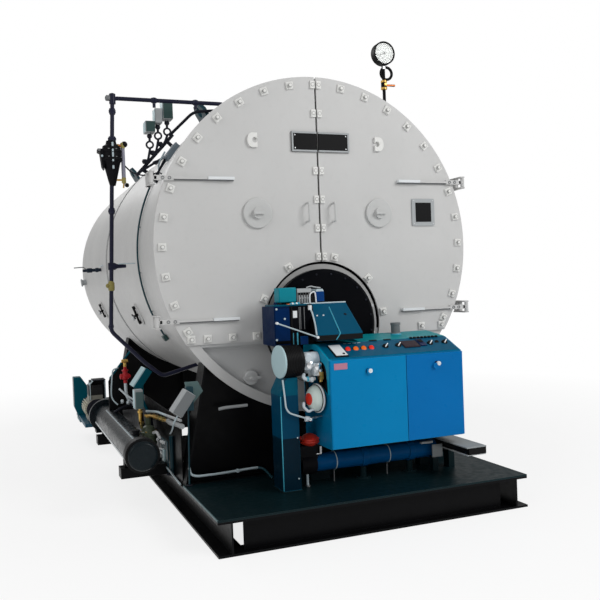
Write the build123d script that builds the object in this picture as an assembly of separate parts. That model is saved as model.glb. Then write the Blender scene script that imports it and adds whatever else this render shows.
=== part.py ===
from build123d import *
import os
from math import sin, cos, sqrt, radians

os.makedirs("parts", exist_ok=True)

# Horizontal fire tube boiler on a steel skid, with burner, cabinet and oil heating set.
# Millimetres. X to the right seen from the front, Y to the rear, Z up.
# The front faces of the two main doors lie at Y zero and the floor lies at Z zero.

# Drum
axis_height = 1590
shell_radius = 1018
shell_wall = 12
shell_front_y = 373
shell_rear_y = 4360
seam_band_y = 2296
seam_band_width = 44
seam_band_lift = 3
head_thickness = 26
rear_cover_radius = 640
rear_cover_depth = 70
seat_gap = 0.3
running_gap = 6
overrun = 40

# Smokebox and fixed front
smokebox_step = 12
smokebox_radius = shell_radius + smokebox_step
smokebox_wall = 11
flange_lip = 14
flange_depth = 44
flange_outer_radius = smokebox_radius + flange_lip
flange_inner_radius = smokebox_radius - flange_depth
flange_thickness = 14
tube_sheet_thickness = 20
sleeve_radius = 378
sleeve_wall = 12
sleeve_clearance = 134
burner_drop = shell_radius - shell_wall - sleeve_radius - sleeve_clearance
chord_below_burner = 83
chord_drop = burner_drop + chord_below_burner
chord_lap = 38
lower_plate_y = 60
lower_plate_thickness = 12
inspection_angle = 30.9
inspection_inset = 87
inspection_radius = 46
inspection_depth = 34
inspection_yoke_share = 2.4

# Main doors
door_overhang = 6
door_radius = flange_outer_radius + door_overhang
door_plate = 14
door_lining = 34
door_lining_inset = 118
seam_gap = 12
door_opening_radius = 392
lining_opening_margin = 20
hinge_pin_reach = 12
hinge_pin_x = door_radius + hinge_pin_reach
hinge_pin_y = -22
hinge_pin_radius = 9
hinge_knuckle_radius = 17
strap_height = 36
strap_thickness = 14
strap_length = 517
strap_inner_x = hinge_pin_x - strap_length
strap_rise = 405
strap_above_chord = 145
strap_drop = chord_drop - strap_above_chord
strap_foot_angle = 30
bracket_plate = 12
bracket_root_angle = 34
bracket_rear_y = 130
clip_side = 46
clip_thickness = 12
clip_bolt_radius = 9
clip_bolt_height = 12
clip_rim_inset = 26
clip_circle_radius = door_radius - clip_rim_inset
clip_step_angle = 9.98
clips_each_side = 12
seam_clip_count = 7
opening_clip_reach = 32
opening_clip_radius = door_opening_radius + opening_clip_reach
opening_clip_left_angles = (31.5, 66)
opening_clip_right_angles = (12, 49, 82)
chord_clip_left_shares = (0.508, 0.681, 0.857, 0.97)
chord_clip_right_shares = (0.798, 0.97)
chord_clip_rise = 34

# Door fittings
cover_x = 412
cover_rise = 200
cover_radius = 92
cover_thickness = 16
cover_boss_radius = 34
cover_boss_height = 16
door_lug_x = 414
door_lug_rise = 643
door_lug_width = 62
door_lug_height = 88
door_lug_hole = 17
door_lug_thickness = 16
handle_x = 88
handle_low = 148
handle_high = 262
handle_reach = 46
handle_radius = 6
nameplate_low = 582
nameplate_high = 706
nameplate_left = 174
nameplate_right = 216
nameplate_thickness = 9
data_plate_inset = 308
data_plate_x = door_radius - data_plate_inset
data_plate_rise = 206
data_plate_width = 168
data_plate_height = 178
data_plate_thickness = 8

# Skid
skid_half_width = 933
skid_front_y = -750
skid_rear_y = 4300
beam_height = 180
beam_flange_width = 150
beam_flange = 12
beam_web = 9
deck_thickness = 10
cross_beam_width = 120
front_cross_width = 200

# Saddles
saddle_top_angle = 48
saddle_foot_inset = 18
saddle_foot_half_width = skid_half_width - saddle_foot_inset
saddle_width = 150
saddle_web = 20
saddle_flange = 16
front_saddle_y = 90
rear_saddle_y = 3000
wear_band = 10
saddle_inner_half_width = 250

# Burner
burner_drum_radius = 352
burner_drum_front_y = -120
burner_drum_rear_y = 200
burner_face_radius = 372
burner_face_y = 24
burner_face_thickness = 16
mid_left_x = -368
mid_right_x = -196
mid_corner = 84
mid_front_y = -330
mid_above_burner = 142
mid_below_burner = 96
mid_top_drop = burner_drop - mid_above_burner
mid_bottom_drop = burner_drop + mid_below_burner
hood_left_x = -192
hood_right_x = 24
hood_above_burner = 149
hood_below_burner = 46
hood_step_fall = 43
hood_top_drop = burner_drop - hood_above_burner
hood_bottom_drop = burner_drop + hood_below_burner
hood_top_y = -250
hood_front_y = -470
filter_y = -400
filter_below_burner = 178
filter_drop = burner_drop + filter_below_burner
filter_radius = 87
filter_left_x = -478
filter_right_x = -330
filter_end_thickness = 14
filter_rest = 50
pump_group_right_x = -224
fuel_pump_radius = 46
fuel_pump_height = 120
fuel_pump_leg_share = 0.5
fuel_pump_cap_share = 0.7
fuel_pump_cap_height = 24
blower_left_x = -500
blower_right_x = -352
blower_front_y = -430
blower_rear_y = -40
blower_below_filter = 104
blower_top_drop = filter_drop + blower_below_filter
blower_slope = 70
top_box_sizes = ((-284, -202, 56), (-186, -126, 70), (-110, -52, 60))
top_box_rear_y = -170

# Cabinet
cabinet_left_x = -220
cabinet_right_x = 635
cabinet_front_y = -578
cabinet_rear_y = -187
cabinet_below_chord = 13
cabinet_top_drop = chord_drop + cabinet_below_chord
cabinet_slope_rear_y = -390
cabinet_slope_fall = 74
cabinet_slope_front_drop = cabinet_top_drop + cabinet_slope_fall
cabinet_floor_height = 427
cabinet_sheet = 4
cabinet_door_thickness = 18
cabinet_door_gap = 5
cabinet_seam_x = 256
cabinet_frame = 26
latch_radius = 17
latch_height = 14
latch_drop = 72
panel_thickness = 4
panel_margin = 10
knob_radius = 17
knob_height = 20
knob_shares = (0.44, 0.53, 0.80, 0.92)
lamp_radius = 13
lamp_height = 12
lamp_shares = (0.14, 0.20, 0.26, 0.32)
display_share = 0.655
display_width = 95
display_height = 46
side_cut_radius = 150
side_cut_below_top = 180
side_cut_drop = cabinet_top_drop + side_cut_below_top
side_cut_y = -330

# Pressure switch on the left side of the cabinet
switch_y = -470
switch_above_middle = 14
switch_radius = 82
switch_dome_share = 0.8
switch_button_share = 0.4
switch_flange = 12
switch_depth = 52

# Gas line under the cabinet
gas_pipe_radius = 52
gas_pipe_y = -330
gas_pipe_height = 314
gas_pipe_left_x = -235
gas_pipe_right_x = 560
strap_band_width = 34
strap_band_thickness = 6
band_x = (60, 372)
gas_valve_radius = 62
gas_valve_length = 90
gas_neck_height = 28
regulator_radius = 54
regulator_height = 112
regulator_base_share = 0.35
regulator_top_share = 0.6
leg_radius = 20
leg_foot_radius = 45
leg_foot_thickness = 8
bracket_channel_depth = 60
bracket_channel_width = 120

# Water column
column_reach = 182
column_x = -(shell_radius + column_reach)
column_y = 470
column_head_rise = 57
column_low = -490
column_pipe_radius = 21
column_union_radius = 33
column_union_length = 52
column_union_gap = 104
column_head_x = -455
float_top = 700
float_low = 420
float_radius = 76
float_neck_radius = 36
float_waist_share = 0.8
float_steps = 6
glass_reach = 95
glass_x = column_x + glass_reach
glass_radius = 9
glass_top = 690
glass_low = 430
glass_head = 34
drain_reach = 160
drain_reach_x = column_x + drain_reach
drain_low = -700

# Drum top fittings
lug_angle = 30
lug_front_y = 700
lug_rear_y = 3500
lug_width = 200
lug_height = 150
lug_thickness = 26
lug_hole_radius = 38
lug_hole_rise = 96
nozzle_y = 2050
nozzle_pipe_radius = 84
nozzle_bore_radius = 77
nozzle_flange_radius = 140
nozzle_flange = 24
nozzle_height = 170
nozzle_inset = 40
nozzle_bolt_circle = 120
nozzle_bolt_radius = 11
nozzle_bolts = 8
flue_y = 3960
flue_radius = 230
flue_wall = 6
flue_height = 150
flue_inset = 70
flue_rim = 36
manifold_radius = 17
manifold_y = 640
manifold_angle = 52
manifold_step_angle = 8.5
manifold_pitch = 165
manifold_rise = 220
manifold_count = 3
control_box_width = 110
control_box_depth = 77
control_box_heights = (110, 138, 165)
junction_angle = 44
junction_y = 520
junction_side = 110
junction_height = 77
conduit_radius = 12
conduit_ring_y = 400
conduit_start_angle = 44
conduit_end_angle = 128
gauge_x = 655
gauge_y = 340
gauge_standoff = 541
gauge_base = sqrt(smokebox_radius ** 2 - gauge_x ** 2)
gauge_rise = gauge_base + gauge_standoff
gauge_radius = 80
gauge_depth = 52
gauge_face_share = 0.88
gauge_rim_depth = 10
gauge_stem_radius = 11
siphon_radius = 42
siphon_tube_share = 0.85
cock_radius = 20
cock_standoff = 305
cock_rise = gauge_base + cock_standoff
cock_handle = 80
handhole_radius = 105
handhole_angle = 115
handhole_y = (1370, 3385)
handhole_depth = 40
handhole_yoke = 30
handhole_yoke_share = 1.7

# Oil heating set beside the skid
heater_reach = 222
heater_x = -(skid_half_width + heater_reach)
heater_height = 388
heater_front_y = 10
heater_rear_y = 1655
heater_radius = 88
heater_flange_radius = 128
heater_flange_thickness = 36
heater_foot_y = (480, 1520)
outrigger_reach = 357
outrigger_outer_x = -(skid_half_width + outrigger_reach)
outrigger_width = 100
outrigger_depth = 100
outrigger_wall = 8
foot_width = 150
foot_thickness = 60
pump_base_y = (2480, 3180)
pump_base_thickness = 30
motor_y = (2520, 2830)
motor_reach = 197
motor_x = -(skid_half_width + motor_reach)
motor_radius = 86
motor_box_side = 120
motor_axis_rise = 112
motor_foot_half_width = 69
pump_y = (2860, 3000)
pump_radius = 60
guard_y = (3010, 3130)
guard_half_width = 120
guard_height = 350
strainer_reach = 67
strainer_x = -(skid_half_width + strainer_reach)
strainer_y = 760
strainer_radius = 56
strainer_height = 215
strainer_low_height = 300
stanchion_inset = 43
stanchion_x = -(skid_half_width - stanchion_inset)
stanchion_y = 330
stanchion_side = 50
stanchion_top_height = 790
side_box_size = (150, 90, 170)
thermostat_size = (80, 70, 120)
thermostat_y = 620


def front(y):
    # local X to the right, local Y up from the drum axis, local Z out to the front
    return Plane(origin=(0, y, axis_height), x_dir=(1, 0, 0), z_dir=(0, -1, 0))


def around(angle, y, radius):
    # a place on the left side of the drum, the angle in degrees from the top
    turn = radians(angle)
    out = (-sin(turn), 0, cos(turn))
    origin = (radius * out[0], y, axis_height + radius * out[2])
    return Plane(origin=origin, x_dir=(0, 1, 0), z_dir=out)


def block(x, y, z):
    # a box between pairs of limits
    box = Box(x[1] - x[0], y[1] - y[0], z[1] - z[0])
    return Pos((x[0] + x[1]) / 2, (y[0] + y[1]) / 2, (z[0] + z[1]) / 2) * box


def drum(radius, y0, y1, x=0, z=axis_height):
    # a round bar along Y
    return Pos(x, (y0 + y1) / 2, z) * Rot(90, 0, 0) * Cylinder(radius, y1 - y0)


def rod(start, end, radius):
    # a round bar between two points
    a = Vector(*start)
    b = Vector(*end)
    bar = Cylinder(radius, (b - a).length, align=(Align.CENTER, Align.CENTER, Align.MIN))
    return Plane(origin=a, z_dir=b - a) * bar


def pipe_run(points, radius, bend):
    # a round bar along straight runs with bends
    path = FilletPolyline(*points, radius=bend)
    return sweep(Plane(origin=path @ 0, z_dir=path % 0) * Circle(radius), path=path)


def stud(radius, height):
    return Cylinder(radius, height, align=(Align.CENTER, Align.CENTER, Align.MIN))


def slab(width, height, depth):
    return Box(width, height, depth, align=(Align.CENTER, Align.CENTER, Align.MIN))


def mirrored(shape):
    return mirror(shape, about=Plane.YZ)


def group(shapes):
    return Compound(children=[part for shape in shapes for part in shape.solids()])


def drop(depth):
    # height above the floor of a place below the drum axis
    return axis_height - depth


def off_shell(shape):
    # trims a fitting to the outside of the shell
    return shape - drum(shell_radius + seat_gap, shell_front_y - overrun, shell_rear_y + overrun)


def off_smokebox(shape):
    flange = drum(flange_outer_radius + seat_gap, 0, door_plate + flange_thickness + seat_gap)
    return shape - drum(smokebox_radius + seat_gap, 0, shell_front_y) - flange


# Skid

def beam_profile(width):
    web = Rectangle(beam_web, beam_height)
    flange = Rectangle(width, beam_flange)
    lift = (beam_height - beam_flange) / 2
    return web + Pos(0, lift) * flange + Pos(0, -lift) * flange


def side_beam():
    x = skid_half_width - beam_flange_width / 2
    start = Plane(origin=(x, skid_front_y, beam_height / 2), x_dir=(-1, 0, 0), z_dir=(0, 1, 0))
    return extrude(start * beam_profile(beam_flange_width), amount=skid_rear_y - skid_front_y)


def cross_beam(y, width):
    span = skid_half_width - beam_flange_width
    start = Plane(origin=(-span, y, beam_height / 2), x_dir=(0, 1, 0), z_dir=(1, 0, 0))
    return extrude(start * beam_profile(width), amount=2 * span)


def skid_parts():
    half = cross_beam_width / 2
    deck_z = (beam_height, beam_height + deck_thickness)
    middle_y = (front_saddle_y + rear_saddle_y) / 2
    deck_rear_y = front_saddle_y - saddle_width / 2 - seat_gap
    inner = [cross_beam(y, cross_beam_width) for y in (middle_y, rear_saddle_y, skid_rear_y - half)]
    inner.append(cross_beam(front_saddle_y, front_cross_width))
    return {
        "skid_right_beam": side_beam(),
        "skid_left_beam": mirrored(side_beam()),
        "skid_front_beam": cross_beam(skid_front_y + half, cross_beam_width),
        "skid_cross_beams": group(inner),
        "deck_plate": block((-skid_half_width, skid_half_width), (skid_front_y, deck_rear_y), deck_z),
    }


def saddle(y):
    # two arms from the skid to the drum, joined by a low web, with a wear band at the drum
    reach = shell_radius if y > shell_front_y else smokebox_radius
    turn = radians(saddle_top_angle)
    tip_x = (reach + wear_band) * sin(turn)
    tip_z = -(reach + wear_band) * cos(turn)
    foot_z = beam_height - axis_height
    outline = Polyline(
        (-saddle_foot_half_width, foot_z), (saddle_foot_half_width, foot_z),
        (tip_x, tip_z), (-tip_x, tip_z), close=True)
    face = make_face(outline)
    web = extrude(front(y + saddle_web / 2) * face, amount=saddle_web)
    inner = make_face(Polyline(
        (-saddle_foot_half_width + saddle_flange, foot_z + saddle_flange),
        (saddle_foot_half_width - saddle_flange, foot_z + saddle_flange),
        (tip_x - saddle_flange, tip_z + overrun), (-tip_x + saddle_flange, tip_z + overrun), close=True))
    rim = extrude(front(y + saddle_width / 2) * (face - inner), amount=saddle_width)
    ribs = [block((x - saddle_web / 2, x + saddle_web / 2), (y - saddle_width / 2, y + saddle_width / 2),
                  (beam_height, axis_height)) for x in (-saddle_inner_half_width, saddle_inner_half_width)]
    core = drum(reach + seat_gap + wear_band, y - saddle_width, y + saddle_width)
    body = web + rim + ribs[0] + ribs[1] - core
    body = body if y > shell_front_y else off_smokebox(body)
    pad = drum(reach + seat_gap + wear_band, y - saddle_width / 2, y + saddle_width / 2)
    pad = pad - drum(reach + seat_gap, y - saddle_width, y + saddle_width)
    pad = pad & block((-tip_x, tip_x), (y - saddle_width, y + saddle_width), (0, axis_height + tip_z))
    return body + (pad if y > shell_front_y else off_smokebox(pad))


# Drum

def shell():
    tube = drum(shell_radius, shell_front_y, shell_rear_y)
    band = drum(shell_radius + seam_band_lift, seam_band_y, seam_band_y + seam_band_width)
    body = tube + band - drum(shell_radius - shell_wall, shell_front_y - overrun, shell_rear_y + overrun)
    for y, radius in ((nozzle_y, nozzle_pipe_radius), (flue_y, flue_radius)):
        body = body - Pos(0, y, axis_height) * stud(radius + seat_gap, shell_radius + overrun)
    return body


def rear_head():
    radius = shell_radius - shell_wall - seat_gap
    disc = drum(radius, shell_rear_y - head_thickness, shell_rear_y)
    cover = drum(rear_cover_radius, shell_rear_y, shell_rear_y + rear_cover_depth)
    cover = fillet(cover.edges().group_by(Axis.Y)[-1], rear_cover_depth / 3)
    return disc + cover


def tube_sheet():
    radius = shell_radius - shell_wall - seat_gap
    disc = drum(radius, shell_front_y, shell_front_y + tube_sheet_thickness)
    hole = drum(sleeve_radius - sleeve_wall, 0, shell_rear_y, 0, drop(burner_drop))
    return disc - hole


def smokebox():
    y0 = door_plate + seat_gap
    tube = drum(smokebox_radius, y0, shell_front_y - seat_gap)
    tube = tube - drum(smokebox_radius - smokebox_wall, 0, shell_front_y)
    ring = drum(flange_outer_radius, y0, y0 + flange_thickness)
    ring = ring - drum(flange_inner_radius, 0, shell_front_y)
    return tube + ring


def below(height, y0, y1, radius):
    # the part of a disc below a height given from the drum axis
    disc = drum(radius, y0, y1)
    return disc & block((-radius, radius), (y0, y1), (axis_height - radius, axis_height + height))


def lower_front():
    y0 = door_plate + seat_gap
    y1 = y0 + flange_thickness
    rim = flange_inner_radius - seat_gap
    wide = smokebox_radius - smokebox_wall - seat_gap
    ledge_low = -chord_drop - running_gap - lower_plate_thickness
    lip = below(-chord_drop + chord_lap, y0, y1, rim) - below(ledge_low, y0, y1, rim)
    top = -chord_drop - running_gap
    ledge = below(top, y1, lower_plate_y, wide) - below(ledge_low, y1, lower_plate_y, wide)
    plate = below(top, lower_plate_y, lower_plate_y + lower_plate_thickness, wide)
    hole = drum(sleeve_radius + seat_gap, 0, shell_front_y, 0, drop(burner_drop))
    return lip + ledge + plate - hole


def burner_sleeve():
    y0 = door_plate + seat_gap
    tube = drum(sleeve_radius, y0, shell_front_y - seat_gap, 0, drop(burner_drop))
    return tube - drum(sleeve_radius - sleeve_wall, 0, shell_front_y, 0, drop(burner_drop))


def inspection_cap():
    reach = smokebox_radius - smokebox_wall - inspection_inset
    turn = radians(inspection_angle)
    place = front(lower_plate_y) * Pos(-reach * sin(turn), -reach * cos(turn))
    cap = stud(inspection_radius, inspection_depth)
    cap = fillet(cap.edges().group_by(Axis.Z)[-1], inspection_depth / 4)
    yoke = Pos(0, 0, inspection_depth) * slab(
        inspection_radius * inspection_yoke_share, inspection_depth / 2, inspection_depth / 3)
    bolt = Pos(0, 0, inspection_depth) * stud(inspection_radius / 4, inspection_depth)
    return place * (cap + yoke + bolt)


# Main doors, drawn for the right side and mirrored for the left

def half_disc(radius, inner_x, bottom, hole_radius):
    half = Pos((inner_x + radius) / 2, 0) * Rectangle(radius - inner_x, 2 * radius)
    half = half & Circle(radius)
    height = radius - bottom
    upper = Pos(0, bottom + height / 2) * Rectangle(2 * radius, height)
    return (half & upper) - Pos(0, -burner_drop) * Circle(hole_radius)


def door():
    plate_face = half_disc(door_radius, seam_gap / 2, -chord_drop, door_opening_radius)
    plate = extrude(front(door_plate) * plate_face, amount=door_plate)
    lining_bottom = -chord_drop + chord_lap + running_gap
    lining_face = half_disc(
        door_radius - door_lining_inset, seam_gap / 2 + lining_opening_margin, lining_bottom,
        door_opening_radius + lining_opening_margin)
    lining = extrude(front(door_plate + door_lining) * lining_face, amount=door_lining)
    return plate + lining


def clip(x, z, turn):
    # a square clamp plate with a hexagon bolt head
    plate = slab(clip_side, clip_side, clip_thickness)
    plate = chamfer(plate.edges().group_by(Axis.Z)[-1], clip_thickness / 4)
    head = Pos(0, 0, clip_thickness) * extrude(RegularPolygon(clip_bolt_radius, 6), amount=clip_bolt_height)
    return front(0) * Pos(x, z) * Rot(0, 0, turn) * (plate + head)


def rim_clips():
    made = []
    for step in range(1, clips_each_side + 1):
        angle = step * clip_step_angle
        turn = radians(angle)
        radius = clip_circle_radius - clip_side / 2
        made.append(clip(radius * sin(turn), radius * cos(turn), -angle))
    return made


def seam_clips():
    # half clamps that meet at the seam, so that each door carries its own
    made = []
    width = clip_side / 2 - seam_gap / 2 + clip_thickness
    top = clip_circle_radius - clip_side / 2
    low = opening_clip_radius - burner_drop
    for step in range(seam_clip_count):
        z = top + (low - top) * step / (seam_clip_count - 1)
        if nameplate_low - clip_side < z < nameplate_high + clip_side:
            continue
        half = front(0) * Pos(seam_gap / 2 + width / 2, z) * slab(width, clip_side, clip_thickness)
        made.append(half)
    return made


def opening_clips(angles):
    made = []
    for angle in angles:
        turn = radians(angle)
        x = opening_clip_radius * sin(turn)
        z = -burner_drop + opening_clip_radius * cos(turn)
        made.append(clip(x, z, -angle))
    return made


def door_clips(opening_angles, chord_shares):
    made = rim_clips() + seam_clips() + opening_clips(opening_angles)
    half_chord = sqrt(door_radius ** 2 - chord_drop ** 2)
    made += [clip(share * half_chord, -chord_drop + chord_clip_rise, 0) for share in chord_shares]
    return group(made)


def hinge_strap(z):
    # a strap on the door with the knuckle that turns on the fixed pin
    y_out = hinge_pin_y - strap_thickness / 2
    bar = block((strap_inner_x, hinge_pin_x), (y_out, y_out + strap_thickness),
                (axis_height + z - strap_height / 2, axis_height + z + strap_height / 2))
    foot = block((strap_inner_x, door_radius * cos(radians(strap_foot_angle))), (y_out, 0),
                 (axis_height + z - strap_height / 2, axis_height + z + strap_height / 2))
    knuckle = Pos(hinge_pin_x, hinge_pin_y, axis_height + z) * Cylinder(hinge_knuckle_radius, strap_height)
    bore = Pos(hinge_pin_x, hinge_pin_y, axis_height + z) * Cylinder(
        hinge_pin_radius + seat_gap, strap_height + overrun)
    return bar + foot + knuckle - bore


def hinge_straps():
    return group([hinge_strap(strap_rise), hinge_strap(-strap_drop)])


def hinge_bracket(z):
    # two plates on the smokebox that hold the pin above and below the knuckle
    r = hinge_knuckle_radius
    side_x = smokebox_radius * cos(radians(bracket_root_angle))
    outline = Polyline(
        (hinge_pin_x - r, hinge_pin_y - r), (hinge_pin_x + r, hinge_pin_y - r),
        (hinge_pin_x + r, hinge_pin_y + 2 * r), (side_x + 3 * r, bracket_rear_y),
        (side_x - 3 * r, bracket_rear_y), (side_x - 3 * r, door_plate + 2 * flange_thickness),
        (side_x + 3 * r, door_plate + flange_thickness / 2), (hinge_pin_x - r, hinge_pin_y + 2 * r), close=True)
    face = make_face(outline)
    pieces = []
    for side in (-1, 1):
        base = axis_height + z + side * (strap_height / 2 + bracket_plate / 2 + seat_gap) - bracket_plate / 2
        pieces.append(extrude(Pos(0, 0, base) * face, amount=bracket_plate))
    pin_height = strap_height + 2 * bracket_plate + 2 * seat_gap
    pin = Pos(hinge_pin_x, hinge_pin_y, axis_height + z) * Cylinder(hinge_pin_radius, pin_height)
    return off_smokebox(pieces[0] + pieces[1] + pin)


def hinge_brackets():
    right = [hinge_bracket(strap_rise), hinge_bracket(-strap_drop)]
    return group(right + [mirrored(shape) for shape in right])


def port_cover():
    disc = stud(cover_radius, cover_thickness)
    disc = fillet(disc.edges().group_by(Axis.Z)[-1], cover_thickness / 3)
    boss = Pos(0, 0, cover_thickness) * stud(cover_boss_radius, cover_boss_height)
    grip = Pos(0, 0, cover_thickness + cover_boss_height) * slab(
        cover_boss_radius * 2, cover_boss_radius / 2, cover_boss_height)
    return front(0) * Pos(cover_x, cover_rise) * (disc + boss + grip)


def door_lug():
    # a D shaped lifting eye on the face of the door
    outer = Rectangle(door_lug_width / 2, door_lug_height) + Pos(door_lug_width / 4, 0) * Ellipse(
        door_lug_width / 2, door_lug_height / 2)
    outer = outer - Circle(door_lug_hole)
    return front(0) * Pos(door_lug_x, door_lug_rise) * extrude(outer, amount=door_lug_thickness)


def door_handle():
    x = handle_x
    low = axis_height + handle_low
    high = axis_height + handle_high
    points = [(x, 0, low), (x, -handle_reach, low), (x, -handle_reach, high), (x, 0, high)]
    return pipe_run(points, handle_radius, handle_radius * 2)


def nameplate(outer_x):
    # one half of the bare plate, so that each door carries its own side
    width = outer_x - seam_gap / 2
    height = nameplate_high - nameplate_low
    place = front(0) * Pos(seam_gap / 2 + width / 2, (nameplate_low + nameplate_high) / 2)
    return place * slab(width, height, nameplate_thickness)


def door_fittings():
    return group([port_cover(), door_lug(), door_handle()])


def data_plate():
    plate = slab(data_plate_width, data_plate_height, data_plate_thickness)
    plate = fillet(plate.edges().filter_by(Axis.Z), data_plate_thickness)
    return front(0) * Pos(data_plate_x, data_plate_rise) * plate


def door_parts():
    return {
        "left_door": mirrored(door()),
        "right_door": door(),
        "left_door_clips": mirrored(door_clips(opening_clip_left_angles, chord_clip_left_shares)),
        "right_door_clips": door_clips(opening_clip_right_angles, chord_clip_right_shares),
        "left_door_hinges": mirrored(hinge_straps()),
        "right_door_hinges": hinge_straps(),
        "hinge_brackets": hinge_brackets(),
        "left_door_fittings": mirrored(door_fittings()),
        "right_door_fittings": door_fittings(),
        "nameplate_left_half": mirrored(nameplate(nameplate_left)),
        "nameplate_right_half": nameplate(nameplate_right),
        "data_plate": data_plate(),
    }


# Burner

def burner_drum():
    axis_z = drop(burner_drop)
    face_rear_y = burner_face_y + burner_face_thickness
    face = drum(burner_face_radius - sleeve_wall, burner_face_y, face_rear_y, 0, axis_z)
    body = drum(burner_drum_radius, burner_drum_front_y, burner_drum_rear_y, 0, axis_z)
    body = fillet(body.edges().group_by(Axis.Y)[0], burner_face_thickness)
    return body + face


def burner_mid():
    # housing beside the hood, rounded at its outer top corner like the opening round it
    body = block((mid_left_x, mid_right_x), (mid_front_y, burner_drum_front_y - seat_gap),
                 (drop(mid_bottom_drop), drop(mid_top_drop)))
    outer = body.edges().filter_by(Axis.Y).group_by(Axis.X)[0]
    return fillet(outer.sort_by(Axis.Z)[-1], mid_corner)


def air_hood():
    # sloped sheet hood drawn in profile and extruded across
    outline = Polyline(
        (burner_drum_front_y - seat_gap, -hood_top_drop), (hood_top_y, -hood_top_drop),
        (hood_front_y, -hood_bottom_drop + hood_step_fall),
        (hood_front_y, -hood_bottom_drop), (burner_drum_front_y - seat_gap, -hood_bottom_drop), close=True)
    side = Plane(origin=(hood_left_x, 0, axis_height), x_dir=(0, 1, 0), z_dir=(1, 0, 0))
    return extrude(side * make_face(outline), amount=hood_right_x - hood_left_x)


def top_boxes():
    boxes = []
    low = drop(mid_top_drop) + seat_gap
    for x0, x1, height in top_box_sizes:
        base = low if x1 < mid_right_x else drop(hood_top_drop) + seat_gap
        boxes.append(block((x0, x1), (hood_top_y, top_box_rear_y), (base, base + height)))
    return group(boxes)


def air_filter():
    z = drop(filter_drop)
    body = rod((filter_left_x, filter_y, z), (filter_right_x, filter_y, z), filter_radius)
    cap = rod((filter_left_x - filter_end_thickness, filter_y, z), (filter_left_x, filter_y, z),
              filter_radius - filter_end_thickness)
    return body + cap


def blower_housing():
    deck = beam_height + deck_thickness
    top = drop(blower_top_drop)
    outline = Polyline(
        (blower_left_x, deck), (blower_right_x, deck), (blower_right_x, top),
        (blower_left_x + blower_slope, top), (blower_left_x, top - blower_slope), close=True)
    rear = Plane(origin=(0, blower_rear_y, 0), x_dir=(1, 0, 0), z_dir=(0, -1, 0))
    body = extrude(rear * make_face(outline), amount=blower_rear_y - blower_front_y)
    mid_x = (filter_left_x + filter_right_x) / 2
    rest = block((mid_x - filter_rest / 2, mid_x + filter_rest / 2), (filter_y, filter_y + filter_rest),
                 (top - overrun, drop(filter_drop)))
    rest = rest - rod((blower_left_x, filter_y, drop(filter_drop)),
                      (mid_x + filter_radius, filter_y, drop(filter_drop)), filter_radius + seat_gap)
    return body + rest


def fuel_pump():
    # air and oil pump between the filter and the cabinet, with a brass regulator below
    z = drop(filter_drop)
    left = filter_right_x + seat_gap
    body = rod((left, filter_y, z), (pump_group_right_x, filter_y, z), fuel_pump_radius)
    x = (left + pump_group_right_x) / 2
    low = z - fuel_pump_height
    leg = rod((x, filter_y, low), (x, filter_y, z), fuel_pump_radius * fuel_pump_leg_share)
    cap = rod((x, filter_y, low), (x, filter_y, low + fuel_pump_cap_height), fuel_pump_radius * fuel_pump_cap_share)
    return body + leg + cap


def pressure_switch():
    # flat dome on the left side of the cabinet
    z = (cabinet_floor_height + drop(cabinet_slope_front_drop)) / 2 + switch_above_middle
    x0 = cabinet_left_x - seat_gap
    x1 = x0 - switch_depth
    flange = rod((x0, switch_y, z), (x0 - switch_flange, switch_y, z), switch_radius)
    dome = rod((x0 - switch_flange, switch_y, z), (x1, switch_y, z), switch_radius * switch_dome_share)
    dome = fillet(dome.edges().group_by(Axis.X)[0], switch_depth / 3)
    button = rod((x1, switch_y, z), (x1 - switch_flange, switch_y, z), switch_radius * switch_button_share)
    return flange + dome + button


# Cabinet

def cabinet_outline(inset):
    front_y = cabinet_front_y + cabinet_door_thickness + inset
    rear_y = cabinet_rear_y - inset
    low = cabinet_floor_height - axis_height + inset
    return make_face(Polyline(
        (front_y, low), (front_y, -cabinet_slope_front_drop - inset),
        (cabinet_slope_rear_y, -cabinet_top_drop - inset), (rear_y, -cabinet_top_drop - inset),
        (rear_y, low), close=True))


def cabinet_body():
    side = Plane(origin=(cabinet_left_x, 0, axis_height), x_dir=(0, 1, 0), z_dir=(1, 0, 0))
    width = cabinet_right_x - cabinet_left_x
    outer = extrude(side * cabinet_outline(0), amount=width)
    inner = extrude(side * cabinet_outline(cabinet_sheet), amount=width - 2 * cabinet_sheet)
    body = outer - Pos(cabinet_sheet, 0, 0) * inner
    low = cabinet_floor_height + cabinet_frame
    high = drop(cabinet_slope_front_drop) - cabinet_frame
    y = (cabinet_front_y, cabinet_front_y + cabinet_door_thickness + 2 * cabinet_sheet)
    half = cabinet_frame / 2
    body = body - block((cabinet_left_x + cabinet_frame, cabinet_seam_x - half), y, (low, high))
    body = body - block((cabinet_seam_x + half, cabinet_right_x - cabinet_frame), y, (low, high))
    notch = rod((cabinet_left_x - cabinet_sheet, side_cut_y, drop(side_cut_drop)),
                (cabinet_left_x + 2 * cabinet_sheet, side_cut_y, drop(side_cut_drop)), side_cut_radius)
    return body - notch


def cabinet_door(hinge_x, seam_x):
    # a flat pan door that turns on its rolled outer edge, with a round latch in the middle
    side = 1 if seam_x > hinge_x else -1
    inner_x = seam_x - side * cabinet_door_gap / 2
    low = cabinet_floor_height + cabinet_door_gap
    high = drop(cabinet_slope_front_drop) - cabinet_door_gap
    roll = (cabinet_door_thickness - seat_gap) / 2
    axis_x = hinge_x + side * roll
    panel = block(sorted((axis_x, inner_x)), (cabinet_front_y, cabinet_front_y + 2 * roll), (low, high))
    panel = panel + rod((axis_x, cabinet_front_y + roll, low), (axis_x, cabinet_front_y + roll, high), roll)
    latch_x = (hinge_x + seam_x) / 2
    knob = front(cabinet_front_y) * Pos(latch_x, high - latch_drop - axis_height) * stud(latch_radius, latch_height)
    return panel + knob


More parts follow.
